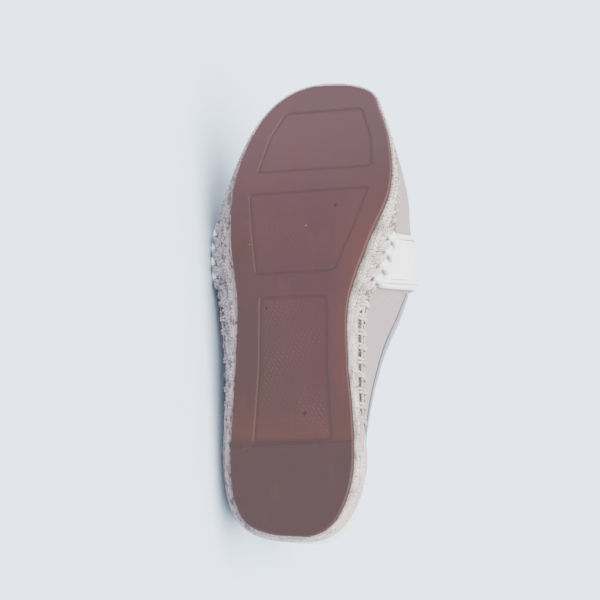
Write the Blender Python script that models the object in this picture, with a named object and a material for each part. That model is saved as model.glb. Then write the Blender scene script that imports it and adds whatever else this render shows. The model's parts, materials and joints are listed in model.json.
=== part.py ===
# Espadrille for the right foot, lying on its outer side as it would on a floor.
# Shoe axes, in metres: +X to the outer side, +Y to the toe, +Z up from the tread.
# A turn runs round the sole from the heel's end: 0 heel, 90 outer waist, 180 toe.
from collections import namedtuple
from math import cos, pi, radians, sin

import bmesh
import bpy
import numpy as np
from mathutils import Matrix, Vector

# Rubber outsole
LENGTH = 0.255
HEEL_WIDTH = 0.0666
WAIST_WIDTH = 0.0624
BALL_WIDTH = 0.0889
TOE_WIDTH = 0.0646
OUTSOLE_THICKNESS = 0.004
OUTSOLE_BEVEL = 0.0008
OUTSOLE_RIM = 0.0008
TOE_SPRING = 0.003
SPRING_START = 0.79
SPRING_CURVE = 1.6
ARCH_RISE = 0.0012
HEEL_STEP = 0.0006
HEEL_LINE = 0.191
ARCH_END = 0.60
LINE_SLANT = -0.09
PANEL_DEPTH = 0.0008
PANEL_CORNER = 0.0026

# Jute midsole and the braid that is sewn round it
JUTE_THICKNESS = 0.017
JUTE_LIP = 0.001
JUTE_FLARE = 0.014
BRAID_START = 0.47
BRAID_REBATE = 0.002
BRAID_ROUND = 0.0009

# Upper, measured from the jute's top edge
CANVAS_WALL = 0.002
HEEL_HEIGHT = 0.047
SIDE_HEIGHT = 0.030
INSTEP_HEIGHT = 0.045
TOE_HEIGHT = 0.017
COLLAR_SHARE = 0.36

# Pieces laid on the upper
LEATHER = 0.0012
BINDING_DEPTH = 0.003
BINDING_TAPE = 0.001
BINDING_CROWN = 0.0007
COUNTER_TURN = 40.0
BAND_REAR_TURN = 98.5
BAND_FRONT_TURN = 113.0
INSOLE_THICKNESS = 0.003
INSOLE_BEVEL = 0.0008

# Clearances
GAP = 0.0003
WALL_FOOT_GAP = 0.0006
INSOLE_GAP = 0.0011
BINDING_OVER = 0.00045
CUTTER_MARGIN = 0.01

# Columns round half of the shoe: heel, quarter, band and toe
HEEL_STEPS = 9
QUARTER_STEPS = 14
BAND_STEPS = 4
TOE_STEPS = 16
RING_ROW_STEP = 15.0
ARCH_CUTS = 16
PANEL_CUTS = 6
SHARP_ANGLE = 35.0

# The side it lies on: how far sideways and how little upward the floor may face
FLOOR_SIDEWAYS = 0.7
FLOOR_UPWARD = 0.05

# Densities in kg per cubic metre, for the shoe's balance as it lies
RUBBER_DENSITY = 1200.0
JUTE_DENSITY = 300.0
CANVAS_DENSITY = 300.0
LEATHER_DENSITY = 900.0

# Half outlines of the rubber, as shares of the width named in each row
OutlineRow = namedtuple("OutlineRow", "width outer inner")
OUTLINE = (
    OutlineRow(HEEL_WIDTH, -0.060, -0.060),
    OutlineRow(HEEL_WIDTH, 0.282, -0.308),
    OutlineRow(HEEL_WIDTH, 0.432, -0.445),
    OutlineRow(HEEL_WIDTH, 0.494, -0.506),
    OutlineRow(HEEL_WIDTH, 0.507, -0.478),
    OutlineRow(WAIST_WIDTH, 0.552, -0.440),
    OutlineRow(WAIST_WIDTH, 0.580, -0.415),
    OutlineRow(BALL_WIDTH, 0.475, -0.392),
    OutlineRow(BALL_WIDTH, 0.486, -0.514),
    OutlineRow(BALL_WIDTH, 0.415, -0.500),
    OutlineRow(TOE_WIDTH, 0.408, -0.583),
    OutlineRow(TOE_WIDTH, 0.173, -0.471),
    OutlineRow(TOE_WIDTH, -0.134, -0.134),
)

# How far the jute stands out beyond the rubber, as shares of JUTE_FLARE
FlareRow = namedtuple("FlareRow", "outer inner")
FLARE = (
    FlareRow(0.04, 0.04),
    FlareRow(0.20, 0.04),
    FlareRow(0.38, 0.11),
    FlareRow(0.46, 0.21),
    FlareRow(0.54, 0.25),
    FlareRow(0.71, 0.44),
    FlareRow(1.00, 0.52),
    FlareRow(0.97, 0.67),
    FlareRow(0.55, 0.18),
    FlareRow(0.25, 0.04),
    FlareRow(0.18, 0.04),
    FlareRow(0.10, 0.04),
    FlareRow(0.07, 0.07),
)

# Side of the jute and its braid: share of its height and of the flare
SideRow = namedtuple("SideRow", "rise out")
JUTE_SIDE = (
    SideRow(0.00, 0.25),
    SideRow(0.22, 0.62),
    SideRow(BRAID_START, 0.90),
    SideRow(1.00, 1.00),
)

# Round of the braid: share of the jute's height, and of the rebate beyond its side
BRAID_SIDE = (
    SideRow(0.56, 0.22),
    SideRow(0.72, 0.35),
    SideRow(0.90, -0.25),
)

# Quarter of the upper up to the collar. Height is made of the heel and side
# heights; leans and handles are shares of the column's own height.
QuarterRow = namedtuple(
    "QuarterRow", "turn heel side outer_lean inner_lean outer_belly inner_belly"
)
QUARTER = (
    QuarterRow(0.0, 1.00, 0.00, -0.08, -0.08, 0.07, 0.07),
    QuarterRow(15.0, 0.93, 0.05, -0.15, -0.10, 0.04, 0.06),
    QuarterRow(30.0, 0.66, 0.31, -0.24, -0.14, 0.00, 0.04),
    QuarterRow(45.0, 0.33, 0.66, -0.27, -0.17, -0.02, 0.02),
    QuarterRow(60.0, 0.10, 0.90, -0.25, -0.12, -0.02, 0.02),
    QuarterRow(75.0, 0.00, 1.00, -0.22, 0.10, -0.01, 0.02),
    QuarterRow(90.0, 0.00, 1.00, -0.20, 0.44, 0.00, 0.07),
)
QUARTER_LIFT = 0.33

# Vamp over the instep and toe. Along is a share of LENGTH, across and the bellies
# of BALL_WIDTH, the lift of the wall's height, reaches of its run to the ridge.
VampRow = namedtuple(
    "VampRow",
    "turn along across instep toe lift outer_belly inner_belly outer_reach inner_reach",
)
VAMP = (
    VampRow(BAND_REAR_TURN, 0.590, -0.060, 1.00, 0.00, 0.80, -0.085, 0.400, 0.88, 1.25),
    VampRow(105.0, 0.632, -0.060, 0.94, 0.04, 0.78, -0.080, 0.320, 0.88, 1.12),
    VampRow(BAND_FRONT_TURN, 0.695, -0.055, 0.77, 0.20, 0.72, -0.025, 0.222, 0.85, 0.98),
    VampRow(120.0, 0.745, -0.050, 0.60, 0.36, 0.68, 0.010, 0.178, 0.82, 0.90),
    VampRow(135.0, 0.835, -0.060, 0.32, 0.67, 0.66, 0.080, 0.105, 0.78, 0.78),
    VampRow(150.0, 0.895, -0.090, 0.12, 0.92, 0.70, 0.080, 0.080, 0.70, 0.70),
    VampRow(165.0, 0.935, -0.120, 0.03, 1.00, 0.75, 0.060, 0.060, 0.62, 0.62),
    VampRow(180.0, 0.952, -0.135, 0.00, 1.00, 0.80, 0.050, 0.050, 0.55, 0.55),
)
LOW_AHEAD = 0.35
HIGH_AHEAD = 0.90

# Rows up the wall: below the collar as shares of it, above it to the ridge
WALL_ROWS = (0.0, 0.07, 0.10, 0.26, 0.45, 0.65, 0.84, 1.0)
LAP_ROW = 1
OVERLAY_ROW = 2
RIDGE_ROWS = (0.14, 0.29, 0.45, 0.62, 0.80, 1.0)

# Recessed panels of the tread: shares of LENGTH along and BALL_WIDTH across
PanelRow = namedtuple("PanelRow", "along_outer outer along_inner inner")
PANELS = {
    "toe": (
        PanelRow(0.786, 0.340, 0.801, -0.407),
        PanelRow(0.873, 0.274, 0.872, -0.387),
        PanelRow(0.932, 0.184, 0.943, -0.317),
    ),
    "ball": (
        PanelRow(0.554, 0.299, 0.566, -0.205),
        PanelRow(0.655, 0.350, 0.660, -0.304),
        PanelRow(0.740, 0.382, 0.759, -0.400),
    ),
    "waist": (
        PanelRow(0.187, 0.238, 0.202, -0.254),
        PanelRow(0.349, 0.241, 0.361, -0.192),
        PanelRow(0.508, 0.268, 0.516, -0.167),
    ),
}


def clear_scene():
    for item in list(bpy.data.objects):
        bpy.data.objects.remove(item, do_unlink=True)


def material(name, colour, roughness):
    made = bpy.data.materials.new(name)
    made.use_nodes = True
    shader = made.node_tree.nodes["Principled BSDF"]
    shader.inputs["Base Color"].default_value = (*colour, 1.0)
    shader.inputs["Roughness"].default_value = roughness
    shader.inputs["Metallic"].default_value = 0.0
    return made


def glide(keys, values, at):
    # Smooth curve through the rows, level at its first row
    values = [np.asarray(value, dtype=float) for value in values]
    last = len(keys) - 1
    k = min(max(int(np.searchsorted(keys, at, side="right")) - 1, 0), last - 1)

    def slope(i):
        if i == 0:
            return 0.0 * values[0]
        if i == last:
            return (values[last] - values[last - 1]) / (keys[last] - keys[last - 1])
        return (values[i + 1] - values[i - 1]) / (keys[i + 1] - keys[i - 1])

    span = keys[k + 1] - keys[k]
    u = (at - keys[k]) / span
    start = values[k] * (2 * u**3 - 3 * u**2 + 1) + slope(k) * span * (u**3 - 2 * u**2 + u)
    end = values[k + 1] * (3 * u**2 - 2 * u**3) + slope(k + 1) * span * (u**3 - u**2)
    return start + end


def ring_value(outer, inner, turn):
    # Smooth closed curve through rows 15 degrees apart on both sides of the sole
    ring = list(outer) + list(inner)[-2:0:-1]
    place = (turn % 360.0) / RING_ROW_STEP
    k = int(place)
    u = place - k
    a, b, c, d = (ring[(k + i) % len(ring)] for i in (-1, 0, 1, 2))
    return b + 0.5 * u * (c - a + u * (2 * a - 5 * b + 4 * c - d + u * (3 * (b - c) + d - a)))


def outline(turn):
    across = ring_value(
        [row.width * row.outer for row in OUTLINE],
        [row.width * row.inner for row in OUTLINE],
        turn,
    )
    return Vector((across, LENGTH * (1 - cos(radians(turn))) / 2, 0.0))


def outward(turn):
    along = outline(turn + 0.5) - outline(turn - 0.5)
    return Vector((along.y, -along.x, 0.0)).normalized()


def flare(turn):
    share = ring_value([row.outer for row in FLARE], [row.inner for row in FLARE], turn)
    return share * JUTE_FLARE


def spring(y):
    share = (y / LENGTH - SPRING_START) / (1 - SPRING_START)
    return TOE_SPRING * max(share, 0.0) ** SPRING_CURVE


def sole_point(turn, offset, height):
    point = outline(turn) + outward(turn) * offset
    point.z = height + spring(point.y)
    return point


def jute_point(turn, rise, offset=0.0):
    out = np.interp(rise, [row.rise for row in JUTE_SIDE], [row.out for row in JUTE_SIDE])
    height = OUTSOLE_THICKNESS + GAP + rise * JUTE_THICKNESS
    return sole_point(turn, JUTE_LIP + out * flare(turn) + offset, height)


def wall_foot(turn):
    foot = jute_point(turn, 1.0, -BRAID_REBATE)
    foot.z += WALL_FOOT_GAP
    return foot


def half_turns():
    stops = (
        (0.0, COUNTER_TURN, HEEL_STEPS),
        (COUNTER_TURN, BAND_REAR_TURN, QUARTER_STEPS),
        (BAND_REAR_TURN, BAND_FRONT_TURN, BAND_STEPS),
        (BAND_FRONT_TURN, 180.0, TOE_STEPS),
    )
    turns = [start + (end - start) * i / count for start, end, count in stops for i in range(count)]
    return turns + [180.0]


HALF = half_turns()
RING = HALF + [360.0 - turn for turn in HALF[-2:0:-1]]


def arch_height(y):
    # Height of the tread forward of the heel pad, back to the plane at the ball
    start = HEEL_LINE * LENGTH
    share = (y - start) / (ARCH_END * LENGTH - start)
    if share > 1:
        return -CUTTER_MARGIN * (share - 1)
    lift = sin(pi * max(share, 0.0))
    return HEEL_STEP * (1 - max(share, 0.0) ** 2) + ARCH_RISE * lift


def tread_height(y):
    return max(arch_height(y), 0.0) + spring(y)


def finish_mesh(name, bm, look):
    bmesh.ops.recalc_face_normals(bm, faces=bm.faces)
    mesh = bpy.data.meshes.new(name)
    bm.to_mesh(mesh)
    bm.free()
    made = bpy.data.objects.new(name, mesh)
    bpy.context.scene.collection.objects.link(made)
    if look is not None:
        mesh.materials.append(look)
        mesh.shade_smooth()
        mesh.set_sharp_from_angle(angle=radians(SHARP_ANGLE))
    return made


def stacked_rings(name, rings, look):
    # Closed body of rings from bottom to top, its ends filled by strips across
    bm = bmesh.new()
    rows = [[bm.verts.new(point) for point in ring] for ring in rings]
    count = len(rows[0])
    for low, high in zip(rows, rows[1:]):
        for i in range(count):
            k = (i + 1) % count
            bm.faces.new((low[i], low[k], high[k], high[i]))
    for ring in (rows[0], rows[-1]):
        for i in range(count // 2):
            corners = [ring[i], ring[i + 1], ring[(count - i - 1) % count], ring[(count - i) % count]]
            bm.faces.new(list(dict.fromkeys(corners)))
    return finish_mesh(name, bm, look)


def make_outsole(look):
    rings = [
        [sole_point(turn, -OUTSOLE_BEVEL, 0.0) for turn in RING],
        [sole_point(turn, 0.0, OUTSOLE_BEVEL) for turn in RING],
        [sole_point(turn, OUTSOLE_RIM, OUTSOLE_THICKNESS) for turn in RING],
    ]
    outsole = stacked_rings("outsole", rings, look)
    cutters = [make_arch_cutter()] + [make_panel_cutter(name) for name in PANELS]
    for cutter in cutters:
        cut = outsole.modifiers.new(cutter.name, "BOOLEAN")
        cut.operation = "DIFFERENCE"
        cut.solver = "EXACT"
        cut.object = cutter
    return outsole, cutters


def hide_cutter(cutter):
    cutter.hide_render = True
    cutter.display_type = "WIRE"
    return cutter


def strip_cutter(name, rows):
    # Prism from a ladder of rows, each an outer and an inner point on its top
    bm = bmesh.new()
    rungs = []
    for outer, inner in rows:
        top = [bm.verts.new(outer), bm.verts.new(inner)]
        foot = [bm.verts.new((p.x, p.y, -CUTTER_MARGIN)) for p in (outer, inner)]
        rungs.append((top[0], top[1], foot[1], foot[0]))
    for low, high in zip(rungs, rungs[1:]):
        for i in range(4):
            k = (i + 1) % 4
            bm.faces.new((low[i], low[k], high[k], high[i]))
    bm.faces.new(rungs[0])
    bm.faces.new(rungs[-1])
    return hide_cutter(finish_mesh(name, bm, None))


def make_arch_cutter():
    rows = []
    half = BALL_WIDTH / 2 + CUTTER_MARGIN
    start = HEEL_LINE * LENGTH
    end = ARCH_END * LENGTH + CUTTER_MARGIN
    for i in range(ARCH_CUTS + 1):
        y = start + (end - start) * i / ARCH_CUTS
        slant = LINE_SLANT * half * (1 - i / ARCH_CUTS)
        rows.append(
            [Vector((side * half, y + side * slant, arch_height(y))) for side in (1, -1)]
        )
    return strip_cutter("cut_arch", rows)


def panel_edges(rows, share):
    # Outer and inner point of a panel at a share of its length
    keys = [i / (len(rows) - 1) for i in range(len(rows))]
    outer = [(row.outer * BALL_WIDTH, row.along_outer * LENGTH) for row in rows]
    inner = [(row.inner * BALL_WIDTH, row.along_inner * LENGTH) for row in rows]
    ends = []
    for side in (outer, inner):
        ends.append(Vector([np.interp(share, keys, axis) for axis in zip(*side)]))
    return ends


def make_panel_cutter(name):
    rows = PANELS[name]
    length = (rows[-1].along_outer - rows[0].along_outer) * LENGTH
    corner = PANEL_CORNER / length
    shares = [corner * (1 - cos(radians(a))) for a in (0, 30, 60)]
    shares += [corner + (1 - 2 * corner) * i / PANEL_CUTS for i in range(PANEL_CUTS + 1)]
    shares += [1 - share for share in shares[2::-1]]
    rungs = []
    for share in shares:
        near = min(share, 1 - share)
        part = max(1 - near / corner, 0.0)
        inset = PANEL_CORNER * (1 - max(1 - part**2, 0.0) ** 0.5)
        outer, inner = panel_edges(rows, share)
        run = (inner - outer).normalized() * inset
        rung = []
        for point in (outer + run, inner - run):
            rung.append(Vector((point.x, point.y, tread_height(point.y) + PANEL_DEPTH)))
        rungs.append(rung)
    return strip_cutter("cut_" + name, rungs)


def make_midsole(look):
    rings = [[jute_point(turn, row.rise) for turn in RING] for row in JUTE_SIDE[:-1]]
    for rise in (BRAID_START, 1.0):
        rings.append([jute_point(turn, rise, -BRAID_REBATE) for turn in RING])
    return stacked_rings("midsole", rings, look)


def make_insole(look):
    inset = BRAID_REBATE + CANVAS_WALL + INSOLE_GAP
    rings = []
    side = INSOLE_THICKNESS - INSOLE_BEVEL
    for rise, more in ((0.0, 0.0), (side, 0.0), (INSOLE_THICKNESS, INSOLE_BEVEL)):
        ring = [jute_point(turn, 1.0, -inset - more) for turn in RING]
        for point in ring:
            point.z += GAP + rise
        rings.append(ring)
    return stacked_rings("insole", rings, look)


def bezier(points, share):
    a, b, c, d = points
    rest = 1 - share
    return a * rest**3 + b * 3 * rest**2 * share + c * 3 * rest * share**2 + d * share**3


def vamp_curve(turn):
    # Four points of the wall's curve from its foot to the ridge
    half = min(turn, 360.0 - turn)
    keys = [row.turn for row in VAMP]
    side = "outer" if turn <= 180.0 else "inner"
    row = VampRow(*glide(keys, VAMP, half))
    foot = wall_foot(turn)
    ridge = Vector((row.across * BALL_WIDTH, row.along * LENGTH, 0.0))
    height = row.instep * INSTEP_HEIGHT + row.toe * TOE_HEIGHT
    ridge.z = OUTSOLE_THICKNESS + JUTE_THICKNESS + spring(ridge.y) + height
    belly = getattr(row, side + "_belly") * BALL_WIDTH
    reach = getattr(row, side + "_reach")
    to_toe = max(half - BAND_FRONT_TURN, 0.0) / (180.0 - BAND_FRONT_TURN)
    sideways = Vector((1.0 if side == "outer" else -1.0, 0.0, 0.0))
    bulge = sideways.lerp(outward(turn), to_toe).normalized() * belly
    ahead = (ridge.y - foot.y) * (1 - to_toe)
    low = foot + bulge
    low.y += LOW_AHEAD * ahead
    low.z += row.lift * (ridge.z - foot.z)
    high = ridge + (foot - ridge) * reach
    high.y += HIGH_AHEAD * ahead
    high.z = ridge.z
    return [foot, low, high, ridge]


def cut_curve(points, share):
    # First part of a curve, up to a share of it
    a, b, c, d = points
    ab, bc, cd = a.lerp(b, share), b.lerp(c, share), c.lerp(d, share)
    abc, bcd = ab.lerp(bc, share), bc.lerp(cd, share)
    return [a, ab, abc, abc.lerp(bcd, share)]


def quarter_curve(turn):
    # Four points of the wall's curve from its foot to the collar
    half = min(turn, 360.0 - turn)
    outer_side = turn <= 180.0
    keys = [row.turn for row in QUARTER] + [BAND_REAR_TURN]
    shapes = []
    for row in QUARTER:
        height = row.heel * HEEL_HEIGHT + row.side * SIDE_HEIGHT
        lean = (row.outer_lean if outer_side else row.inner_lean) * height
        belly = (row.outer_belly if outer_side else row.inner_belly) * height
        lift = QUARTER_LIFT * height
        low = (lean / 3 + belly, 0.0, lift)
        high = (lean * 2 / 3 + belly, 0.0, height - lift)
        shapes.append((low, high, (lean, 0.0, height)))
    rear = BAND_REAR_TURN if outer_side else 360.0 - BAND_REAR_TURN
    last = cut_curve(vamp_curve(rear), COLLAR_SHARE)
    out = outward(rear)
    shapes.append([(step.dot(out), step.y - out.y * step.dot(out), step.z)
                   for step in (point - last[0] for point in last[1:])])
    foot = wall_foot(turn)
    out = outward(turn)
    steps = glide(keys, shapes, half)
    return [foot] + [foot + out * s[0] + Vector((0.0, s[1], s[2])) for s in steps]


def upper_surface():
    # Outer face of the upper on its last: points, outward normals and faces.
    # A face's key is its column round the ring and its row up the wall.
    bm = bmesh.new()
    count = len(RING)
    collar = len(WALL_ROWS) - 1
    top = collar + len(RIDGE_ROWS)
    vamp_shares = [COLLAR_SHARE * row for row in WALL_ROWS]
    vamp_shares += [COLLAR_SHARE + (1 - COLLAR_SHARE) * row for row in RIDGE_ROWS]
    grid = []
    for i, turn in enumerate(RING):
        vamp = BAND_REAR_TURN <= turn <= 360.0 - BAND_REAR_TURN
        points = vamp_curve(turn) if vamp else quarter_curve(turn)
        column = []
        for row, share in enumerate(vamp_shares if vamp else WALL_ROWS):
            partner = (count - i) % count
            if row == top and partner < i:
                column.append(grid[partner][top])
            else:
                column.append(bm.verts.new(bezier(points, share)))
        grid.append(column)
    faces = {}
    for i in range(count):
        right = grid[(i + 1) % count]
        for row in range(min(len(grid[i]), len(right)) - 1):
            corners = [grid[i][row], right[row], right[row + 1], grid[i][row + 1]]
            faces[i, row] = bm.faces.new(list(dict.fromkeys(corners)))
    bm.normal_update()
    bm.verts.index_update()
    for column in grid:
        column[0].normal = Vector((column[0].normal.x, column[0].normal.y, 0.0)).normalized()
    points = [vert.co.copy() for vert in bm.verts]
    normals = [vert.normal.copy() for vert in bm.verts]
    face_table = {key: [vert.index for vert in face.verts] for key, face in faces.items()}
    grid_table = [[vert.index for vert in column] for column in grid]
    bm.free()
    return points, normals, face_table, grid_table


def shell(name, surface, keys, inner, outer, look):
    # Closed wall between two offsets of some of the surface's faces
    points, normals, faces, _ = surface
    bm = bmesh.new()
    used = sorted({index for key in keys for index in faces[key]})
    skins = []
    for offset in (outer, inner):
        skins.append({i: bm.verts.new(points[i] + normals[i] * offset) for i in used})
    edges = {}
    for key in keys:
        ids = faces[key]
        bm.faces.new([skins[0][i] for i in ids])
        bm.faces.new([skins[1][i] for i in reversed(ids)])
        for a, b in zip(ids, ids[1:] + ids[:1]):
            edges[a, b] = True
    for a, b in edges:
        if (b, a) not in edges:
            bm.faces.new((skins[0][b], skins[0][a], skins[1][a], skins[1][b]))
    return finish_mesh(name, bm, look)


def columns_between(start, end):
    # Ring columns whose faces lie between two turns, on both sides of the shoe
    found = []
    for i, turn in enumerate(RING):
        after = RING[(i + 1) % len(RING)] or 360.0
        middle = (turn + after) / 2
        if start < min(middle, 360.0 - middle) < end:
            found.append(i)
    return found


def make_seam_braid(surface, look):
    # Ring of jute braid in its rebate, lapping the foot of the canvas
    points, normals, _, grid = surface
    start = BRAID_START + GAP / JUTE_THICKNESS
    laps = [column[LAP_ROW] for column in grid]
    rings = [
        [jute_point(turn, start, GAP - BRAID_REBATE) for turn in RING],
        [jute_point(turn, start) for turn in RING],
    ]
    for row in BRAID_SIDE:
        rings.append([jute_point(turn, row.rise, row.out * BRAID_REBATE) for turn in RING])
    rings += [
        [points[i] + normals[i] * (GAP + BRAID_ROUND) for i in laps],
        [points[i] + normals[i] * GAP for i in laps],
        [jute_point(turn, 1.0, GAP - BRAID_REBATE) for turn in RING],
    ]
    bm = bmesh.new()
    rows = [[bm.verts.new(point) for point in ring] for ring in rings]
    count = len(RING)
    for low, high in zip(rows, rows[1:] + rows[:1]):
        for i in range(count):
            k = (i + 1) % count
            bm.faces.new((low[i], low[k], high[k], high[i]))
    return finish_mesh("seam_braid", bm, look)


def make_binding(surface, look):
    # Tape folded over the collar from one end of the band round the heel to the other
    points, normals, _, grid = surface
    collar = len(WALL_ROWS) - 1
    inner = [i for i, turn in enumerate(RING) if turn > 360.0 - BAND_REAR_TURN]
    outer = [i for i, turn in enumerate(RING) if turn < BAND_REAR_TURN]
    bm = bmesh.new()
    sections = []
    for i in inner + outer:
        edge = points[grid[i][collar]]
        below = points[grid[i][collar - 1]]
        out = normals[grid[i][collar]]
        rise = (edge - below).normalized()
        inside = edge - out * CANVAS_WALL - below + normals[grid[i][collar - 1]] * CANVAS_WALL
        near = out * GAP
        far = out * (GAP + BINDING_TAPE)
        wall = out * -CANVAS_WALL
        drop = rise * -BINDING_DEPTH
        inner_drop = inside.normalized() * -BINDING_DEPTH
        over = rise * BINDING_OVER
        crown = rise * (GAP + BINDING_TAPE)
        half_tape = rise * BINDING_CROWN
        steps = (
            near + drop,
            far + drop,
            far + half_tape,
            near + crown,
            wall - near + crown,
            wall - far + half_tape,
            wall - far + inner_drop,
            wall - near + inner_drop,
            wall - near + over,
            near + over,
        )
        sections.append([bm.verts.new(edge + step) for step in steps])
    for low, high in zip(sections, sections[1:]):
        for i in range(len(low)):
            k = (i + 1) % len(low)
            bm.faces.new((low[i], low[k], high[k], high[i]))
    for ends in (sections[0], sections[-1]):
        bm.faces.new((ends[0], ends[1], ends[2], ends[9]))
        bm.faces.new((ends[2], ends[3], ends[4], ends[5], ends[8], ends[9]))
        bm.faces.new((ends[5], ends[6], ends[7], ends[8]))
    return finish_mesh("collar_binding", bm, look)


def weigh(made, density):
    # Mass and first moment of a closed mesh, from tetrahedra to the origin
    depsgraph = bpy.context.evaluated_depsgraph_get()
    shape = made.evaluated_get(depsgraph).to_mesh()
    shape.calc_loop_triangles()
    mass = 0.0
    moment = Vector()
    for triangle in shape.loop_triangles:
        a, b, c = (shape.vertices[i].co for i in triangle.vertices)
        part = a.dot(b.cross(c)) / 6 * density
        mass += part
        moment += part * (a + b + c) / 4
    corners = [vert.co.copy() for vert in shape.vertices]
    made.evaluated_get(depsgraph).to_mesh_clear()
    return mass, moment, corners


def floor_direction(corners, balance):
    # Outward normal of the hull's outer-side face that the balance point bears on
    bm = bmesh.new()
    for corner in corners:
        bm.verts.new(corner)
    hull = bmesh.ops.convex_hull(bm, input=bm.verts)
    loose = [item for item in hull["geom_interior"] if isinstance(item, bmesh.types.BMVert)]
    bmesh.ops.delete(bm, geom=loose, context="VERTS")
    bm.normal_update()
    best = None
    for face in bm.faces:
        if face.normal.x < FLOOR_SIDEWAYS or face.normal.z < FLOOR_UPWARD:
            continue
        height = face.normal.dot(face.verts[0].co - balance)
        if best is None or height < best[0]:
            best = (height, face.normal.copy())
    bm.free()
    return best[1]


def lay_down(pieces):
    # Turns the shoe on to its outer side, toe to -X, and centres it on the floor
    mass = 0.0
    moment = Vector()
    corners = []
    for made, density in pieces:
        weight, first, points = weigh(made, density)
        mass += weight
        moment += first
        corners += points
    down = floor_direction(corners, moment / mass)
    up = -down
    toe = Vector((0.0, 1.0, 0.0))
    back = -(toe - up * toe.dot(up)).normalized()
    turn = Matrix((back, up.cross(back), up))
    turned = np.array([turn @ corner for corner in corners])
    low = turned.min(axis=0)
    high = turned.max(axis=0)
    rest = bpy.data.objects.new("rest", None)
    bpy.context.scene.collection.objects.link(rest)
    rest.rotation_euler = turn.to_euler()
    rest.location = (-(low[0] + high[0]) / 2, -(low[1] + high[1]) / 2, -low[2])
    return rest


def main():
    clear_scene()
    rubber = material("rubber", (0.21, 0.11, 0.11), 0.45)
    jute = material("jute", (0.60, 0.53, 0.47), 0.95)
    canvas = material("canvas", (0.62, 0.55, 0.56), 0.95)
    leather = material("leather", (0.80, 0.78, 0.77), 0.5)
    lining = material("lining", (0.42, 0.40, 0.42), 0.95)

    outsole, cutters = make_outsole(rubber)
    midsole = make_midsole(jute)
    insole = make_insole(lining)
    surface = upper_surface()
    faces = surface[2]
    collar = len(WALL_ROWS) - 1
    upper = shell("upper", surface, list(faces), -CANVAS_WALL, 0.0, canvas)
    braid = make_seam_braid(surface, jute)
    band_columns = columns_between(BAND_REAR_TURN, BAND_FRONT_TURN)
    band_keys = [key for key in faces if key[0] in band_columns and key[1] >= OVERLAY_ROW]
    band = shell("instep_band", surface, band_keys, GAP, GAP + LEATHER, leather)
    heel_columns = columns_between(0.0, COUNTER_TURN)
    counter_keys = [
        key for key in faces if key[0] in heel_columns and OVERLAY_ROW <= key[1] < collar - 1
    ]
    counter = shell("heel_counter", surface, counter_keys, GAP, GAP + LEATHER, leather)
    binding = make_binding(surface, leather)

    pieces = (
        (outsole, RUBBER_DENSITY),
        (midsole, JUTE_DENSITY),
        (insole, CANVAS_DENSITY),
        (upper, CANVAS_DENSITY),
        (braid, JUTE_DENSITY),
        (band, LEATHER_DENSITY),
        (counter, LEATHER_DENSITY),
        (binding, LEATHER_DENSITY),
    )
    bpy.context.view_layer.update()
    rest = lay_down(pieces)
    for made in [piece for piece, _ in pieces] + cutters:
        made.parent = rest


main()
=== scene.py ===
# Espadrille for the right foot: rubber, jute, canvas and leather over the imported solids.
# Shoe axes in metres: x to the outer side, y to the toe, z up from the tread.
# A turn runs round the sole in degrees: 0 heel, 90 outer waist, 180 toe, 270 inner waist.
import json
from math import cos, pi, radians, sin

import bmesh
import bpy
import numpy as np
from mathutils import Matrix, Vector


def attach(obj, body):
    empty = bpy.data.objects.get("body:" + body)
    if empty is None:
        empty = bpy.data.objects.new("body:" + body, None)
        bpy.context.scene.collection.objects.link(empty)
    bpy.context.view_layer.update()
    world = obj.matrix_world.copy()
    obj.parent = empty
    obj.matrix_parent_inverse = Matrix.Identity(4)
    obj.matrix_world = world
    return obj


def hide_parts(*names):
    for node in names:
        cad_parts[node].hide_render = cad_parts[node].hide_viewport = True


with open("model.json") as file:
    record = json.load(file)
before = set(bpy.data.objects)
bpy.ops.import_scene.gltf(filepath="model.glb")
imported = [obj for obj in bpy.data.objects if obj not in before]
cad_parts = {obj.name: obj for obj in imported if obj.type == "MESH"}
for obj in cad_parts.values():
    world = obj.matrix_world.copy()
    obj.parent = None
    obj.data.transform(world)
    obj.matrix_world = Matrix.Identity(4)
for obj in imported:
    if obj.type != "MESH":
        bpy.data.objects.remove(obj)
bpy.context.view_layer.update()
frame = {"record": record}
print("frame loaded")

# the last, as the solids have it
last = {
    "length": 0.255,
    "heel": 0.0666,
    "waist": 0.0624,
    "ball": 0.0889,
    "toe": 0.0646,
    "springHeight": 0.003,
    "springStart": 0.79,
    "springCurve": 1.6,
    "archRise": 0.0012,
    "heelStep": 0.0006,
    "heelLine": 0.191,
    "archEnd": 0.60,
    "rubber": 0.004,
    "jute": 0.017,
    "lip": 0.001,
    "flare": 0.014,
    "gap": 0.0003,
    "rebate": 0.002,
    "wallFoot": 0.0006,
    "heelHeight": 0.047,
    "sideHeight": 0.030,
    "instepHeight": 0.045,
    "toeHeight": 0.017,
    "collarShare": 0.36,
    "wall": 0.002,
    "bandRear": 98.5,
    "bandFront": 113.0,
    "lift": 0.33,
    "lowAhead": 0.35,
    "highAhead": 0.90,
}

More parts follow.
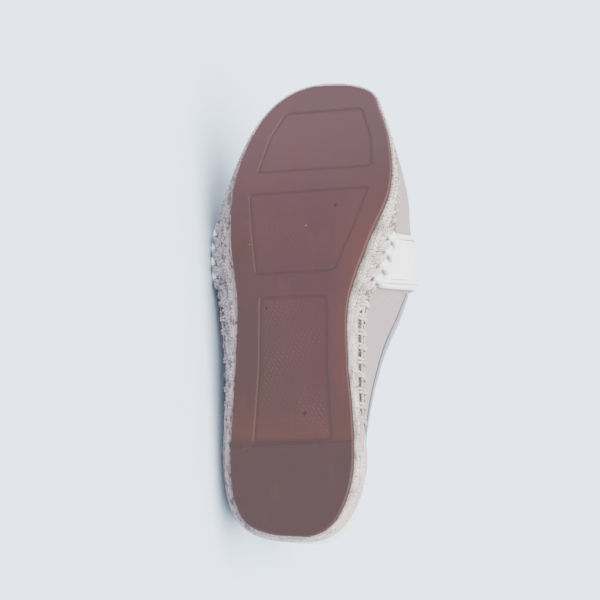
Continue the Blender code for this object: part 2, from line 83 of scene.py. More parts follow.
# width, outer half and inner half as shares of that width, every 15 degrees
outlineRows = (
    ("heel", -0.060, -0.060),
    ("heel", 0.282, -0.308),
    ("heel", 0.432, -0.445),
    ("heel", 0.494, -0.506),
    ("heel", 0.507, -0.478),
    ("waist", 0.552, -0.440),
    ("waist", 0.580, -0.415),
    ("ball", 0.475, -0.392),
    ("ball", 0.486, -0.514),
    ("ball", 0.415, -0.500),
    ("toe", 0.408, -0.583),
    ("toe", 0.173, -0.471),
    ("toe", -0.134, -0.134),
)
flareOuter = (0.04, 0.20, 0.38, 0.46, 0.54, 0.71, 1.00, 0.97, 0.55, 0.25, 0.18, 0.10, 0.07)
flareInner = (0.04, 0.04, 0.11, 0.21, 0.25, 0.44, 0.52, 0.67, 0.18, 0.04, 0.04, 0.04, 0.07)
sideRise = (0.0, 0.22, 0.47, 1.0)
sideOut = (0.25, 0.62, 0.90, 1.0)

# turn, share of the heel height, of the side height, outer and inner lean, outer and inner belly
quarterRows = (
    (0.0, 1.00, 0.00, -0.08, -0.08, 0.07, 0.07),
    (15.0, 0.93, 0.05, -0.15, -0.10, 0.04, 0.06),
    (30.0, 0.66, 0.31, -0.24, -0.14, 0.00, 0.04),
    (45.0, 0.33, 0.66, -0.27, -0.17, -0.02, 0.02),
    (60.0, 0.10, 0.90, -0.25, -0.12, -0.02, 0.02),
    (75.0, 0.00, 1.00, -0.22, 0.10, -0.01, 0.02),
    (90.0, 0.00, 1.00, -0.20, 0.44, 0.00, 0.07),
)

# turn, ridge along and across, instep and toe shares of height, lift, bellies, reaches
vampRows = (
    (98.5, 0.590, -0.060, 1.00, 0.00, 0.80, -0.085, 0.400, 0.88, 1.25),
    (105.0, 0.632, -0.060, 0.94, 0.04, 0.78, -0.080, 0.320, 0.88, 1.12),
    (113.0, 0.695, -0.055, 0.77, 0.20, 0.72, -0.025, 0.222, 0.85, 0.98),
    (120.0, 0.745, -0.050, 0.60, 0.36, 0.68, 0.010, 0.178, 0.82, 0.90),
    (135.0, 0.835, -0.060, 0.32, 0.67, 0.66, 0.080, 0.105, 0.78, 0.78),
    (150.0, 0.895, -0.090, 0.12, 0.92, 0.70, 0.080, 0.080, 0.70, 0.70),
    (165.0, 0.935, -0.120, 0.03, 1.00, 0.75, 0.060, 0.060, 0.62, 0.62),
    (180.0, 0.952, -0.135, 0.00, 1.00, 0.80, 0.050, 0.050, 0.55, 0.55),
)

# outer along and across, inner along and across, as shares of the length and the ball's width
panelRows = {
    "toe": ((0.786, 0.340, 0.801, -0.407), (0.873, 0.274, 0.872, -0.387), (0.932, 0.184, 0.943, -0.317)),
    "ball": ((0.554, 0.299, 0.566, -0.205), (0.655, 0.350, 0.660, -0.304), (0.740, 0.382, 0.759, -0.400)),
    "waist": ((0.187, 0.238, 0.202, -0.254), (0.349, 0.241, 0.361, -0.192), (0.508, 0.268, 0.516, -0.167)),
}


def findShoe(record):
    # The tread's two flat spots give the shoe's place and axes
    spots = {mount["name"]: mount for mount in record["mounts"]}
    heel = Vector(spots["heel_pad"]["pos_m"])
    ball = Vector(spots["ball_tread"]["pos_m"])
    up = -Vector(spots["heel_pad"]["axis"]).normalized()
    toe = ball - heel
    toe = (toe - up * toe.dot(up)).normalized()
    out = toe.cross(up)
    turn = np.array([out, toe, up]).T
    return turn, np.array(heel) - turn @ np.array((0.0, 0.025, 0.0))


shoeTurn, shoeStart = findShoe(frame["record"])


def toWorld(points):
    return np.asarray(points, dtype=float) @ shoeTurn.T + shoeStart


def unit(vectors):
    return vectors / np.maximum(np.linalg.norm(vectors, axis=-1, keepdims=True), 1e-12)


def lengthAlong(points):
    # Length from the first point of a line to each of its points
    steps = np.linalg.norm(np.diff(points, axis=0), axis=1)
    return np.concatenate([[0.0], np.cumsum(steps)])


def lookUp(at, run, rows):
    # Points or directions at lengths along a line
    return np.stack([np.interp(at, run, rows[:, i]) for i in range(3)], axis=-1)


def smooth(low, high, value):
    share = np.clip((value - low) / (high - low), 0.0, 1.0)
    return share * share * (3 - 2 * share)


def ringValue(outer, inner, turn):
    ring = np.array(list(outer) + list(inner)[-2:0:-1])
    place = (np.asarray(turn, dtype=float) % 360.0) / 15.0
    k = np.floor(place).astype(int)
    u = place - k
    a, b, c, d = (ring[(k + i) % len(ring)] for i in (-1, 0, 1, 2))
    return b + 0.5 * u * (c - a + u * (2 * a - 5 * b + 4 * c - d + u * (3 * (b - c) + d - a)))


def outline(turn):
    outer = [last[row[0]] * row[1] for row in outlineRows]
    inner = [last[row[0]] * row[2] for row in outlineRows]
    across = ringValue(outer, inner, turn)
    along = last["length"] * (1 - np.cos(np.radians(turn))) / 2
    return np.stack([across, along, np.zeros_like(along)], axis=-1)


def outward(turn):
    run = outline(np.asarray(turn) + 0.5) - outline(np.asarray(turn) - 0.5)
    return unit(np.stack([run[..., 1], -run[..., 0], np.zeros_like(run[..., 0])], axis=-1))


def springRise(y):
    share = (y / last["length"] - last["springStart"]) / (1 - last["springStart"])
    return last["springHeight"] * np.maximum(share, 0.0) ** last["springCurve"]


def solePoint(turn, offset, height):
    point = outline(turn) + outward(turn) * np.asarray(offset)[..., None]
    point[..., 2] = height + springRise(point[..., 1])
    return point


def flareAt(turn):
    return ringValue(flareOuter, flareInner, turn) * last["flare"]


def jutePoint(turn, rise, offset=0.0):
    turn = np.asarray(turn, dtype=float)
    out = np.interp(rise, sideRise, sideOut)
    height = last["rubber"] + last["gap"] + rise * last["jute"]
    return solePoint(turn, last["lip"] + out * flareAt(turn) + offset, height)


def wallFoot(turn):
    foot = jutePoint(turn, 1.0, -last["rebate"])
    foot[..., 2] += last["wallFoot"]
    return foot


def glide(rows, at):
    keys = np.array([row[0] for row in rows])
    values = [np.asarray(row[1], dtype=float) for row in rows]
    end = len(keys) - 1
    k = min(max(int(np.searchsorted(keys, at, side="right")) - 1, 0), end - 1)

    def slope(i):
        if i == 0:
            return 0.0 * values[0]
        if i == end:
            return (values[end] - values[end - 1]) / (keys[end] - keys[end - 1])
        return (values[i + 1] - values[i - 1]) / (keys[i + 1] - keys[i - 1])

    span = keys[k + 1] - keys[k]
    u = (at - keys[k]) / span
    start = values[k] * (2 * u**3 - 3 * u**2 + 1) + slope(k) * span * (u**3 - 2 * u**2 + u)
    return start + values[k + 1] * (3 * u**2 - 2 * u**3) + slope(k + 1) * span * (u**3 - u**2)


def vampCurve(turn):
    half = min(turn, 360.0 - turn)
    outerSide = turn <= 180.0
    row = glide([(r[0], r[1:]) for r in vampRows], half)
    along, across, instep, toe, lift = row[:5]
    belly, reach = (row[5], row[7]) if outerSide else (row[6], row[8])
    foot = wallFoot(turn)
    ridge = np.array((across * last["ball"], along * last["length"], 0.0))
    height = instep * last["instepHeight"] + toe * last["toeHeight"]
    ridge[2] = last["rubber"] + last["jute"] + springRise(ridge[1]) + height
    toToe = max(half - last["bandFront"], 0.0) / (180.0 - last["bandFront"])
    sideways = np.array((1.0 if outerSide else -1.0, 0.0, 0.0))
    bulge = unit(sideways * (1 - toToe) + outward(turn) * toToe) * belly * last["ball"]
    ahead = (ridge[1] - foot[1]) * (1 - toToe)
    low = foot + bulge
    low[1] += last["lowAhead"] * ahead
    low[2] += lift * (ridge[2] - foot[2])
    high = ridge + (foot - ridge) * reach
    high[1] += last["highAhead"] * ahead
    high[2] = ridge[2]
    return np.array([foot, low, high, ridge])


def cutCurve(points, share):
    rows = [np.asarray(points)]
    for _ in range(3):
        rows.append(rows[-1][:-1] * (1 - share) + rows[-1][1:] * share)
    return np.array([row[0] for row in rows])


def quarterCurve(turn):
    half = min(turn, 360.0 - turn)
    outerSide = turn <= 180.0
    shapes = []
    for row in quarterRows:
        height = row[1] * last["heelHeight"] + row[2] * last["sideHeight"]
        lean = (row[3] if outerSide else row[4]) * height
        belly = (row[5] if outerSide else row[6]) * height
        lift = last["lift"] * height
        low = (lean / 3 + belly, 0.0, lift)
        high = (lean * 2 / 3 + belly, 0.0, height - lift)
        shapes.append((row[0], (low, high, (lean, 0.0, height))))
    rear = last["bandRear"] if outerSide else 360.0 - last["bandRear"]
    end = cutCurve(vampCurve(rear), last["collarShare"])
    out = outward(rear)
    steps = []
    for step in end[1:] - end[0]:
        reach = float(step @ out)
        steps.append((reach, step[1] - out[1] * reach, step[2]))
    shapes.append((last["bandRear"], steps))
    steps = glide(shapes, half)
    out = outward(turn)
    foot = wallFoot(turn)
    return np.array([foot] + [foot + out * s[0] + np.array((0.0, s[1], s[2])) for s in steps])


def bezier(points, share):
    share = np.asarray(share)[..., None]
    rest = 1 - share
    a, b, c, d = points
    return a * rest**3 + b * 3 * rest**2 * share + c * 3 * rest * share**2 + d * share**3


# mesh helpers
def addObject(name, data):
    made = bpy.data.objects.new(name, data)
    bpy.context.scene.collection.objects.link(made)
    return made


def writeMarks(mesh, marks):
    # Values on the points that materials and trees read by name
    for label, values in (marks or {}).items():
        layer = mesh.attributes.new(label, "FLOAT", "POINT")
        layer.data.foreach_set("value", np.asarray(values, dtype=np.float32))


def putMesh(name, points, faces, look, uv=None, marks=None, inShoe=True):
    # New object at the origin from points in shoe axes; UVs are given by point or by corner
    mesh = bpy.data.meshes.new(name)
    mesh.from_pydata(toWorld(points) if inShoe else points, [], faces)
    if uv is not None:
        layer = mesh.uv_layers.new(name="cloth")
        index = np.zeros(len(mesh.loops), dtype=np.int32)
        mesh.loops.foreach_get("vertex_index", index)
        uv = np.asarray(uv, dtype=np.float32)
        layer.data.foreach_set("uv", (uv if len(uv) == len(index) else uv[index]).ravel())
    writeMarks(mesh, marks)
    for item in look if isinstance(look, (list, tuple)) else [look]:
        mesh.materials.append(item)
    mesh.shade_smooth()
    return addObject(name, mesh)


def turnOut(made):
    # Faces of a closed piece are made to point outwards
    bm = bmesh.new()
    bm.from_mesh(made.data)
    bmesh.ops.recalc_face_normals(bm, faces=bm.faces)
    bm.to_mesh(made.data)
    bm.free()
    return made


def loftFaces(rows, count, closedRing=True, start=0):
    # Quads between rows of points laid one after another
    faces = []
    for row in range(rows - 1):
        low = start + row * count
        high = low + count
        for i in range(count if closedRing else count - 1):
            k = (i + 1) % count
            faces.append((low + i, low + k, high + k, high + i))
    return faces


def ladderFaces(start, count):
    # Strips across a ring whose points pair up by their distance from the heel
    faces = []
    for i in range(count // 2):
        corners = (start + i, start + i + 1, start + (count - i - 1) % count, start + (count - i) % count)
        faces.append(tuple(dict.fromkeys(corners)))
    return faces


def stackFaces(rings):
    # A closed body of stacked rings, with strips over its first and last ring
    rows, count = len(rings), len(rings[0])
    return loftFaces(rows, count) + ladderFaces(0, count) + ladderFaces((rows - 1) * count, count)


def barFaces(rings):
    # A closed bar of rings one after another, with a flat face at each end
    rows, count = len(rings), len(rings[0])
    ends = [tuple(range(count)), tuple(range((rows - 1) * count, rows * count))]
    return loftFaces(rows, count) + ends


def gridNormals(grid):
    # Unit normals of a grid of points, rows by columns
    along = np.gradient(grid, axis=0)
    across = np.gradient(grid, axis=1)
    return unit(np.cross(across, along))


# node helpers, for materials and for geometry alike
def addNode(tree, kind, inputs=None, **settings):
    # A node with its settings; an input gets a plain value or another node's output
    step = tree.nodes.new(kind)
    for name, value in settings.items():
        setattr(step, name, value)
    for key, value in (inputs or {}).items():
        named = [socket for i, socket in enumerate(step.inputs) if key in (i, socket.name)]
        socket = next((one for one in named if one.enabled), named[0])
        if isinstance(value, bpy.types.NodeSocket):
            tree.links.new(value, socket)
        else:
            socket.default_value = value
    return step


def calc(tree, operation, *values):
    return addNode(tree, "ShaderNodeMath", dict(enumerate(values)), operation=operation).outputs[0]


def multiplied(tree, first, second):
    return calc(tree, "MULTIPLY", first, second)


def added(tree, first, second):
    return calc(tree, "ADD", first, second)


def blendColour(tree, share, first, second):
    values = [(*value, 1.0) if isinstance(value, tuple) else value for value in (share, first, second)]
    inputs = dict(zip((0, 6, 7), values))
    return addNode(tree, "ShaderNodeMix", inputs, data_type="RGBA", clamp_factor=True).outputs[2]


def layered(tree, colour, *rows):
    # Tints laid over a colour one after another: where, how strongly, which tint
    for where, strength, tint in rows:
        colour = blendColour(tree, multiplied(tree, where, strength), colour, tint)
    return colour


def mark(tree, name):
    return addNode(tree, "ShaderNodeAttribute", attribute_name=name).outputs["Fac"]


def noise(tree, place, scale, detail=3.0, rough=0.55, stretch=None):
    if stretch:
        place = addNode(tree, "ShaderNodeMapping", {"Vector": place, "Scale": stretch}).outputs[0]
    inputs = {"Vector": place, "Scale": scale, "Detail": detail, "Roughness": rough}
    return addNode(tree, "ShaderNodeTexNoise", inputs).outputs["Fac"]


def cells(tree, place, scale):
    inputs = {"Vector": place, "Scale": scale}
    return addNode(tree, "ShaderNodeTexVoronoi", inputs).outputs["Distance"]


def newLook(name, colour, roughness):
    look = bpy.data.materials.new(name)
    look.use_nodes = True
    tree = look.node_tree
    shader = tree.nodes["Principled BSDF"]
    shader.inputs["Base Color"].default_value = (*colour, 1.0)
    shader.inputs["Roughness"].default_value = roughness
    place = tree.nodes.new("ShaderNodeTexCoord")
    return look, tree, shader, place.outputs["Object"], place.outputs["UV"]


def addBump(tree, shader, height, distance, strength=1.0):
    inputs = {"Height": height, "Distance": distance, "Strength": strength}
    bump = addNode(tree, "ShaderNodeBump", inputs)
    tree.links.new(bump.outputs[0], shader.inputs["Normal"])


def ramp(tree, value, low, high):
    inputs = {"Value": value, "From Min": low, "From Max": high}
    return addNode(tree, "ShaderNodeMapRange", inputs, interpolation_type="SMOOTHSTEP").outputs[0]


# looks
def rubberLook():
    tint = {
        "tread": (0.0505, 0.0196, 0.0208),
        "toe": (0.0745, 0.0355, 0.0395),
        "worn": (0.0725, 0.0258, 0.0200),
        "olive": (0.0430, 0.0198, 0.0164),
        "heel": (0.0412, 0.0205, 0.0198),
        "edge": (0.080, 0.039, 0.033),
        "groove": (0.036, 0.015, 0.015),
        "stroke": (0.105, 0.052, 0.045),
        "speck": (0.022, 0.010, 0.012),
        "grit": (0.14, 0.10, 0.09),
    }
    look, tree, shader, place, _ = newLook("rubber sole", tint["tread"], 0.42)
    cloud = noise(tree, place, 22.0, 4.0, 0.6)
    broad = noise(tree, place, 11.0, 3.0, 0.55)
    fine = noise(tree, place, 240.0, 3.0, 0.6)
    streak = noise(tree, place, 60.0, 3.0, 0.6, stretch=(0.35, 1.0, 1.6))
    grit = calc(tree, "LESS_THAN", cells(tree, place, 95.0), 0.045)
    colour = layered(
        tree, tint["tread"],
        (ramp(tree, cloud, 0.40, 0.68), 0.55, tint["worn"]),
        (ramp(tree, broad, 0.44, 0.62), 0.9, tint["olive"]),
        (mark(tree, "warm"), 0.6, tint["worn"]),
        (mark(tree, "toward"), 1.0, tint["toe"]),
        (mark(tree, "heel"), 1.0, tint["heel"]),
        (ramp(tree, streak, 0.52, 0.75), 0.30, tint["worn"]),
        (mark(tree, "hatch"), 0.34, tint["stroke"]),
        # painted shade: darker along the grooves
        (mark(tree, "groove"), 0.62, tint["groove"]),
        (mark(tree, "speck"), 1.0, tint["speck"]),
        (mark(tree, "edge"), 0.8, tint["edge"]),
        (grit, ramp(tree, noise(tree, place, 40.0), 0.56, 0.66), tint["grit"]),
    )
    shader.inputs["Specular IOR Level"].default_value = 0.22
    tree.links.new(colour, shader.inputs["Base Color"])
    rough = added(tree, 0.36, multiplied(tree, cloud, 0.22))
    tree.links.new(rough, shader.inputs["Roughness"])
    addBump(tree, shader, added(tree, fine, multiplied(tree, streak, 0.8)), 0.00012, 0.5)
    return look


def juteLook(name, pale, deep):
    # Strands, pale fluff, dark flecks, painted fibre shadows, painted shade that thickens towards the floor,
    # and painted shade from the shade marks
    look, tree, shader, place, uv = newLook(name, pale, 0.92)
    height = addNode(tree, "ShaderNodeSeparateXYZ", {0: place}).outputs[2]
    # painted shade: darker towards the floor, on the side the shoe lies on
    floorSideShade = ramp(tree, height, 0.036, 0.012)
    strand = noise(tree, uv, 900.0, 2.0, 0.6, stretch=(0.12, 1.0, 1.0))
    cloud = noise(tree, place, 60.0, 3.0, 0.6)
    fine = noise(tree, place, 1100.0, 2.0, 0.7)
    fleck = noise(tree, place, 620.0, 2.0, 0.65, stretch=(1.0, 1.0, 2.2))
    # painted shadows between fibres: fine short dark marks
    fibreShadow = noise(tree, place, 880.0, 2.0, 0.7, stretch=(1.0, 1.0, 1.8))
    # painted shadows in slits between strands, only where the floor-side shade is
    slitShadow = noise(tree, place, 430.0, 2.0, 0.65, stretch=(0.45, 1.0, 1.0))
    mixed = added(tree, multiplied(tree, strand, 0.55), multiplied(tree, cloud, 0.45))
    colour = layered(
        tree, blendColour(tree, ramp(tree, mixed, 0.36, 0.60), deep, pale),
        (ramp(tree, fine, 0.52, 0.72), 0.35, (0.86, 0.80, 0.74)),
        (ramp(tree, fleck, 0.55, 0.64), 0.75, deep),
        (ramp(tree, fibreShadow, 0.57, 0.66), 0.85, (0.125, 0.098, 0.088)),
        (floorSideShade, 0.70, (0.25, 0.18, 0.205)),
        (multiplied(tree, ramp(tree, slitShadow, 0.50, 0.60), floorSideShade), 0.85, (0.060, 0.047, 0.052)),
        (mark(tree, "shade"), 0.92, (0.085, 0.066, 0.062)),
    )
    tree.links.new(colour, shader.inputs["Base Color"])
    shader.inputs["Sheen Weight"].default_value = 0.15
    shader.inputs["Sheen Roughness"].default_value = 0.6
    addBump(tree, shader, added(tree, strand, multiplied(tree, fine, 0.5)), 0.0006, 1.0)
    return look


def weaveHeight(tree, uv, pitch):
    # Plain weave: warp threads lie high where weft threads lie low
    across, along, _ = addNode(tree, "ShaderNodeSeparateXYZ", {0: uv}).outputs
    waves = [calc(tree, "SINE", multiplied(tree, way, pi / pitch)) for way in (across, along)]
    warp, weft = (calc(tree, "ABSOLUTE", wave) for wave in waves)
    sign = calc(tree, "GREATER_THAN", multiplied(tree, *waves), 0.0)
    over = multiplied(tree, warp, added(tree, 0.55, multiplied(tree, weft, 0.45)))
    under = multiplied(tree, weft, added(tree, 0.55, multiplied(tree, warp, 0.45)))
    rest = multiplied(tree, calc(tree, "SUBTRACT", 1.0, sign), under)
    return added(tree, multiplied(tree, sign, over), rest)


def clothLook(name, pale, deep, pitch, dirt):
    look, tree, shader, place, uv = newLook(name, pale, 0.95)
    weave = weaveHeight(tree, uv, pitch)
    slub = noise(tree, uv, 500.0, 2.0, 0.6, stretch=(1.0, 0.15, 1.0))
    cloud = noise(tree, place, 30.0, 4.0, 0.6)
    # painted shade: the low parts of the weave, between the threads, take the darker colour
    colour = layered(
        tree, blendColour(tree, ramp(tree, weave, 0.15, 0.80), deep, pale),
        (ramp(tree, slub, 0.45, 0.75), 0.30, pale),
        (ramp(tree, cloud, 0.50, 0.80), dirt, deep),
    )
    tree.links.new(colour, shader.inputs["Base Color"])
    shader.inputs["Sheen Weight"].default_value = 0.15
    addBump(tree, shader, added(tree, weave, multiplied(tree, slub, 0.4)), pitch * 0.22, 0.9)
    return look


def leatherLook(name, pale, deep):
    look, tree, shader, place, _ = newLook(name, pale, 0.42)
    grain = cells(tree, place, 900.0)
    cloud = noise(tree, place, 45.0, 4.0, 0.6)
    wrinkle = noise(tree, place, 150.0, 3.0, 0.55, stretch=(1.0, 1.0, 0.35))
    colour = layered(
        tree, pale,
        (ramp(tree, cloud, 0.48, 0.80), 0.45, deep),
        (mark(tree, "shade"), 0.9, (0.10, 0.082, 0.078)),
    )
    tree.links.new(colour, shader.inputs["Base Color"])
    rough = added(tree, 0.36, multiplied(tree, cloud, 0.18))
    tree.links.new(rough, shader.inputs["Roughness"])
    addBump(tree, shader, added(tree, multiplied(tree, grain, 0.5), wrinkle), 0.00012, 0.6)
    return look


def threadLook():
    look, tree, shader, place, _ = newLook("sewing thread", (0.50, 0.48, 0.47), 0.7)
    twist = noise(tree, place, 2500.0, 1.0, 0.5)
    colour = blendColour(tree, ramp(tree, twist, 0.35, 0.65), (0.20, 0.185, 0.18), (0.34, 0.32, 0.31))
    tree.links.new(colour, shader.inputs["Base Color"])
    addBump(tree, shader, twist, 0.0001, 0.6)
    return look


looks = {
    "rubber": rubberLook(),
    "jute": juteLook("jute rope", (0.78, 0.645, 0.60), (0.30, 0.235, 0.21)),
    "braid": juteLook("jute braid", (0.73, 0.61, 0.57), (0.27, 0.21, 0.19)),
    "canvas": clothLook("canvas weave", (0.41, 0.30, 0.318), (0.27, 0.20, 0.21), 0.00110, 0.30),
    "lining": clothLook("lining cloth", (0.40, 0.385, 0.41), (0.24, 0.23, 0.255), 0.0006, 0.3),
    "leather": leatherLook("band leather", (0.86, 0.845, 0.84), (0.68, 0.655, 0.65)),
    # collar tape: grey-blue, darkened as painted shade to the tone the tape shows in shade
    "tape": clothLook("collar tape", (0.30, 0.31, 0.385), (0.17, 0.175, 0.23), 0.00035, 0.2),
    "thread": threadLook(),
    # jute shives: real woody bits, laid so thick that they also stand in as painted shade between the strands
    "shivesAndShade": juteLook("jute shives and shade", (0.20, 0.15, 0.13), (0.09, 0.065, 0.06)),
}
print("looks mixed")


# geometry trees
def newTree(name, inputs):
    tree = bpy.data.node_groups.new(name, "GeometryNodeTree")
    tree.interface.new_socket("Geometry", in_out="INPUT", socket_type="NodeSocketGeometry")
    for label, kind, value in inputs:
        tree.interface.new_socket(label, in_out="INPUT", socket_type=kind).default_value = value
    tree.interface.new_socket("Geometry", in_out="OUTPUT", socket_type="NodeSocketGeometry")
    return tree, tree.nodes.new("NodeGroupInput"), tree.nodes.new("NodeGroupOutput")


def held(tree, name, kind="FLOAT"):
    # A value that the carrier's points hold
    step = addNode(tree, "GeometryNodeInputNamedAttribute", {"Name": name}, data_type=kind)
    return next(out for out in step.outputs if out.name == "Attribute" and out.enabled)


def scaled(tree, vector, amount):
    return addNode(tree, "ShaderNodeVectorMath", {0: vector, "Scale": amount}, operation="SCALE").outputs[0]


def summed(tree, first, second):
    return addNode(tree, "ShaderNodeVectorMath", {0: first, 1: second}, operation="ADD").outputs[0]


def closeTree(tree, geometry, end, look):
    # Every tree ends in real geometry with its finish on it
    real = addNode(tree, "GeometryNodeRealizeInstances", {0: geometry})
    shade = addNode(tree, "GeometryNodeSetShadeSmooth", {0: real.outputs[0]})
    finish = addNode(tree, "GeometryNodeSetMaterial", {"Geometry": shade.outputs[0], "Material": look})
    tree.links.new(finish.outputs[0], end.inputs[0])


def growTree(name, carrier, tree, settings):
    # Runs a tree on a carrier mesh and keeps the result as a plain mesh
    modifier = carrier.modifiers.new(name, "NODES")
    modifier.node_group = tree
    for item in tree.interface.items_tree:
        if item.in_out == "INPUT" and item.name in settings:
            modifier[item.identifier] = settings[item.name]
    carrier.update_tag()
    depsgraph = bpy.context.evaluated_depsgraph_get()
    mesh = bpy.data.meshes.new_from_object(carrier.evaluated_get(depsgraph))
    mesh.name = name
    made = addObject(name, mesh)
    bpy.data.objects.remove(carrier, do_unlink=True)
    print(name, len(mesh.polygons), "faces")
    return made


def pathCarrier(name, points, edges, vectors, marks=None):
    # Lines of points in shoe axes that carry directions and sizes for a tree
    mesh = bpy.data.meshes.new(name)
    mesh.from_pydata(toWorld(points), edges, [])
    for label, values in vectors.items():
        layer = mesh.attributes.new(label, "FLOAT_VECTOR", "POINT")
        layer.data.foreach_set("vector", (np.asarray(values) @ shoeTurn.T).astype(np.float32).ravel())
    writeMarks(mesh, marks)
    return addObject(name, mesh)


def lineEdges(count, start=0):
    return [(start + i, start + i + 1) for i in range(count - 1)]


def tubeAlong(tree, curve, sides, radius, caps):
    # A round tube along every line
    ring = addNode(tree, "GeometryNodeCurvePrimitiveCircle", {"Resolution": sides, "Radius": radius})
    inputs = {"Curve": curve, "Profile Curve": ring.outputs[0], "Fill Caps": caps}
    return addNode(tree, "GeometryNodeCurveToMesh", inputs).outputs[0]


def braidTree(look):
    tree, start, end = newTree("twisted yarn", [
        ("Yarns", "NodeSocketInt", 3),
        ("Yarn Radius", "NodeSocketFloat", 0.0006),
        ("Yarn Orbit", "NodeSocketFloat", 0.0008),
        ("Sides", "NodeSocketInt", 6),
    ])
    given = start.outputs
    curve = addNode(tree, "GeometryNodeMeshToCurve", {"Mesh": given["Geometry"]})
    inputs = {"Geometry": curve.outputs[0], "Amount": given["Yarns"]}
    copies = addNode(tree, "GeometryNodeDuplicateElements", inputs, domain="SPLINE")
    share = multiplied(tree, copies.outputs["Duplicate Index"], 2 * pi)
    angle = added(tree, held(tree, "twist"), calc(tree, "DIVIDE", share, given["Yarns"]))
    depth = calc(tree, "SINE", angle)
    swing = multiplied(tree, given["Yarn Orbit"], calc(tree, "COSINE", angle))
    across = scaled(tree, held(tree, "up", "FLOAT_VECTOR"), swing)
    outward = scaled(tree, held(tree, "out", "FLOAT_VECTOR"), multiplied(tree, given["Yarn Orbit"], depth))
    inputs = {"Geometry": copies.outputs["Geometry"], "Offset": summed(tree, across, outward)}
    move = addNode(tree, "GeometryNodeSetPosition", inputs)
    # painted shade: yarns that lie deep in the twist are darker
    sunk = multiplied(tree, calc(tree, "SUBTRACT", 0.30, depth), 0.50)
    sunk = added(tree, calc(tree, "MAXIMUM", sunk, 0.0), held(tree, "deep"))
    inputs = {"Geometry": move.outputs[0], "Name": "shade", "Value": sunk}
    keep = addNode(tree, "GeometryNodeStoreNamedAttribute", inputs, data_type="FLOAT", domain="POINT")
    tube = tubeAlong(tree, keep.outputs[0], given["Sides"], given["Yarn Radius"], True)
    closeTree(tree, tube, end, look)
    return tree


def fuzzTree(look):
    tree, start, end = newTree("loose fibres", [
        ("Density", "NodeSocketFloat", 40000.0),
        ("Seed", "NodeSocketInt", 3),
        ("Fibre Length", "NodeSocketFloat", 0.004),
        ("Fibre Radius", "NodeSocketFloat", 0.00007),
    ])
    given = start.outputs
    inputs = {"Mesh": given["Geometry"], "Density": given["Density"], "Seed": given["Seed"]}
    scatter = addNode(tree, "GeometryNodeDistributePointsOnFaces", inputs)
    bend = {"Resolution": 4, "Start": (-0.5, 0.0, -0.02), "Middle": (0.1, 0.12, 0.30)}
    bend["End"] = (0.5, -0.1, 0.16)
    hair = addNode(tree, "GeometryNodeCurveQuadraticBezier", bend)
    size = addNode(tree, "ShaderNodeCombineXYZ", dict.fromkeys(range(3), given["Fibre Length"]))
    sized = addNode(tree, "GeometryNodeTransform", {"Geometry": hair.outputs[0], "Scale": size.outputs[0]})
    tube = tubeAlong(tree, sized.outputs[0], 3, given["Fibre Radius"], False)
    tilt = {"Min": (-0.35, -0.5, -pi), "Max": (0.35, 0.3, pi)}
    chance = addNode(tree, "FunctionNodeRandomValue", tilt, data_type="FLOAT_VECTOR")
    inputs = {0: scatter.outputs["Rotation"], 1: chance.outputs[0]}
    spin = addNode(tree, "FunctionNodeRotateRotation", inputs, rotation_space="LOCAL")
    grow = addNode(tree, "FunctionNodeRandomValue", {"Min": 0.45, "Max": 1.3}, data_type="FLOAT")
    put = addNode(tree, "GeometryNodeInstanceOnPoints", {
        "Points": scatter.outputs["Points"],
        "Instance": tube,
        "Rotation": spin.outputs[0],
        "Scale": next(out for out in grow.outputs if out.enabled),
    })
    closeTree(tree, put.outputs[0], end, look)
    return tree


def stitchTree(look):
    tree, start, end = newTree("stitch row", [
        ("Pitch", "NodeSocketFloat", 0.0026),
        ("Length", "NodeSocketFloat", 0.0019),
        ("Thread Radius", "NodeSocketFloat", 0.0002),
        ("Rise", "NodeSocketFloat", 0.0004),
    ])
    given = start.outputs
    curve = addNode(tree, "GeometryNodeMeshToCurve", {"Mesh": given["Geometry"]})
    inputs = {"Curve": curve.outputs[0], "Length": given["Pitch"]}
    steps = addNode(tree, "GeometryNodeResampleCurve", inputs, mode="LENGTH")
    # one stitch: a low arc whose ends dip under the surface
    half = multiplied(tree, given["Length"], 0.5)
    sink = multiplied(tree, given["Rise"], -0.6)
    corners = {
        "Start": {0: multiplied(tree, half, -1.0), 2: sink},
        "Middle": {2: given["Rise"]},
        "End": {0: half, 2: sink},
    }
    bend = {key: addNode(tree, "ShaderNodeCombineXYZ", spot).outputs[0] for key, spot in corners.items()}
    arc = addNode(tree, "GeometryNodeCurveQuadraticBezier", {"Resolution": 6, **bend})
    tube = tubeAlong(tree, arc.outputs[0], 6, given["Thread Radius"], True)
    tangent = addNode(tree, "GeometryNodeInputTangent")
    inputs = {0: tangent.outputs[0], 1: held(tree, "out", "FLOAT_VECTOR")}
    axes = addNode(tree, "FunctionNodeAxesToRotation", inputs, primary_axis="X", secondary_axis="Z")
    inputs = {"Points": steps.outputs[0], "Instance": tube, "Rotation": axes.outputs[0]}
    put = addNode(tree, "GeometryNodeInstanceOnPoints", inputs)
    closeTree(tree, put.outputs[0], end, look)
    return tree


# ring of even steps round the sole
ringTurns = np.linspace(0.0, 360.0, 2881)
ringPlaces = jutePoint(ringTurns, 0.8)
ringRun = lengthAlong(ringPlaces)
ringLength = float(ringRun[-1])
print("round the sole", round(ringLength * 1000), "mm")


def evenTurns(count):
    return np.interp(np.arange(count) / count * ringLength, ringRun, ringTurns)


def pairedTurns(count):
    # Turns on both sides at the same distances from the heel, evenly spaced round the outer side
    outer = np.interp(np.arange(count + 1) / count * np.interp(180.0, ringTurns, ringRun), ringRun, ringTurns)
    outer[0], outer[-1] = 0.0, 180.0
    return np.concatenate([outer, 360.0 - outer[-2:0:-1]])


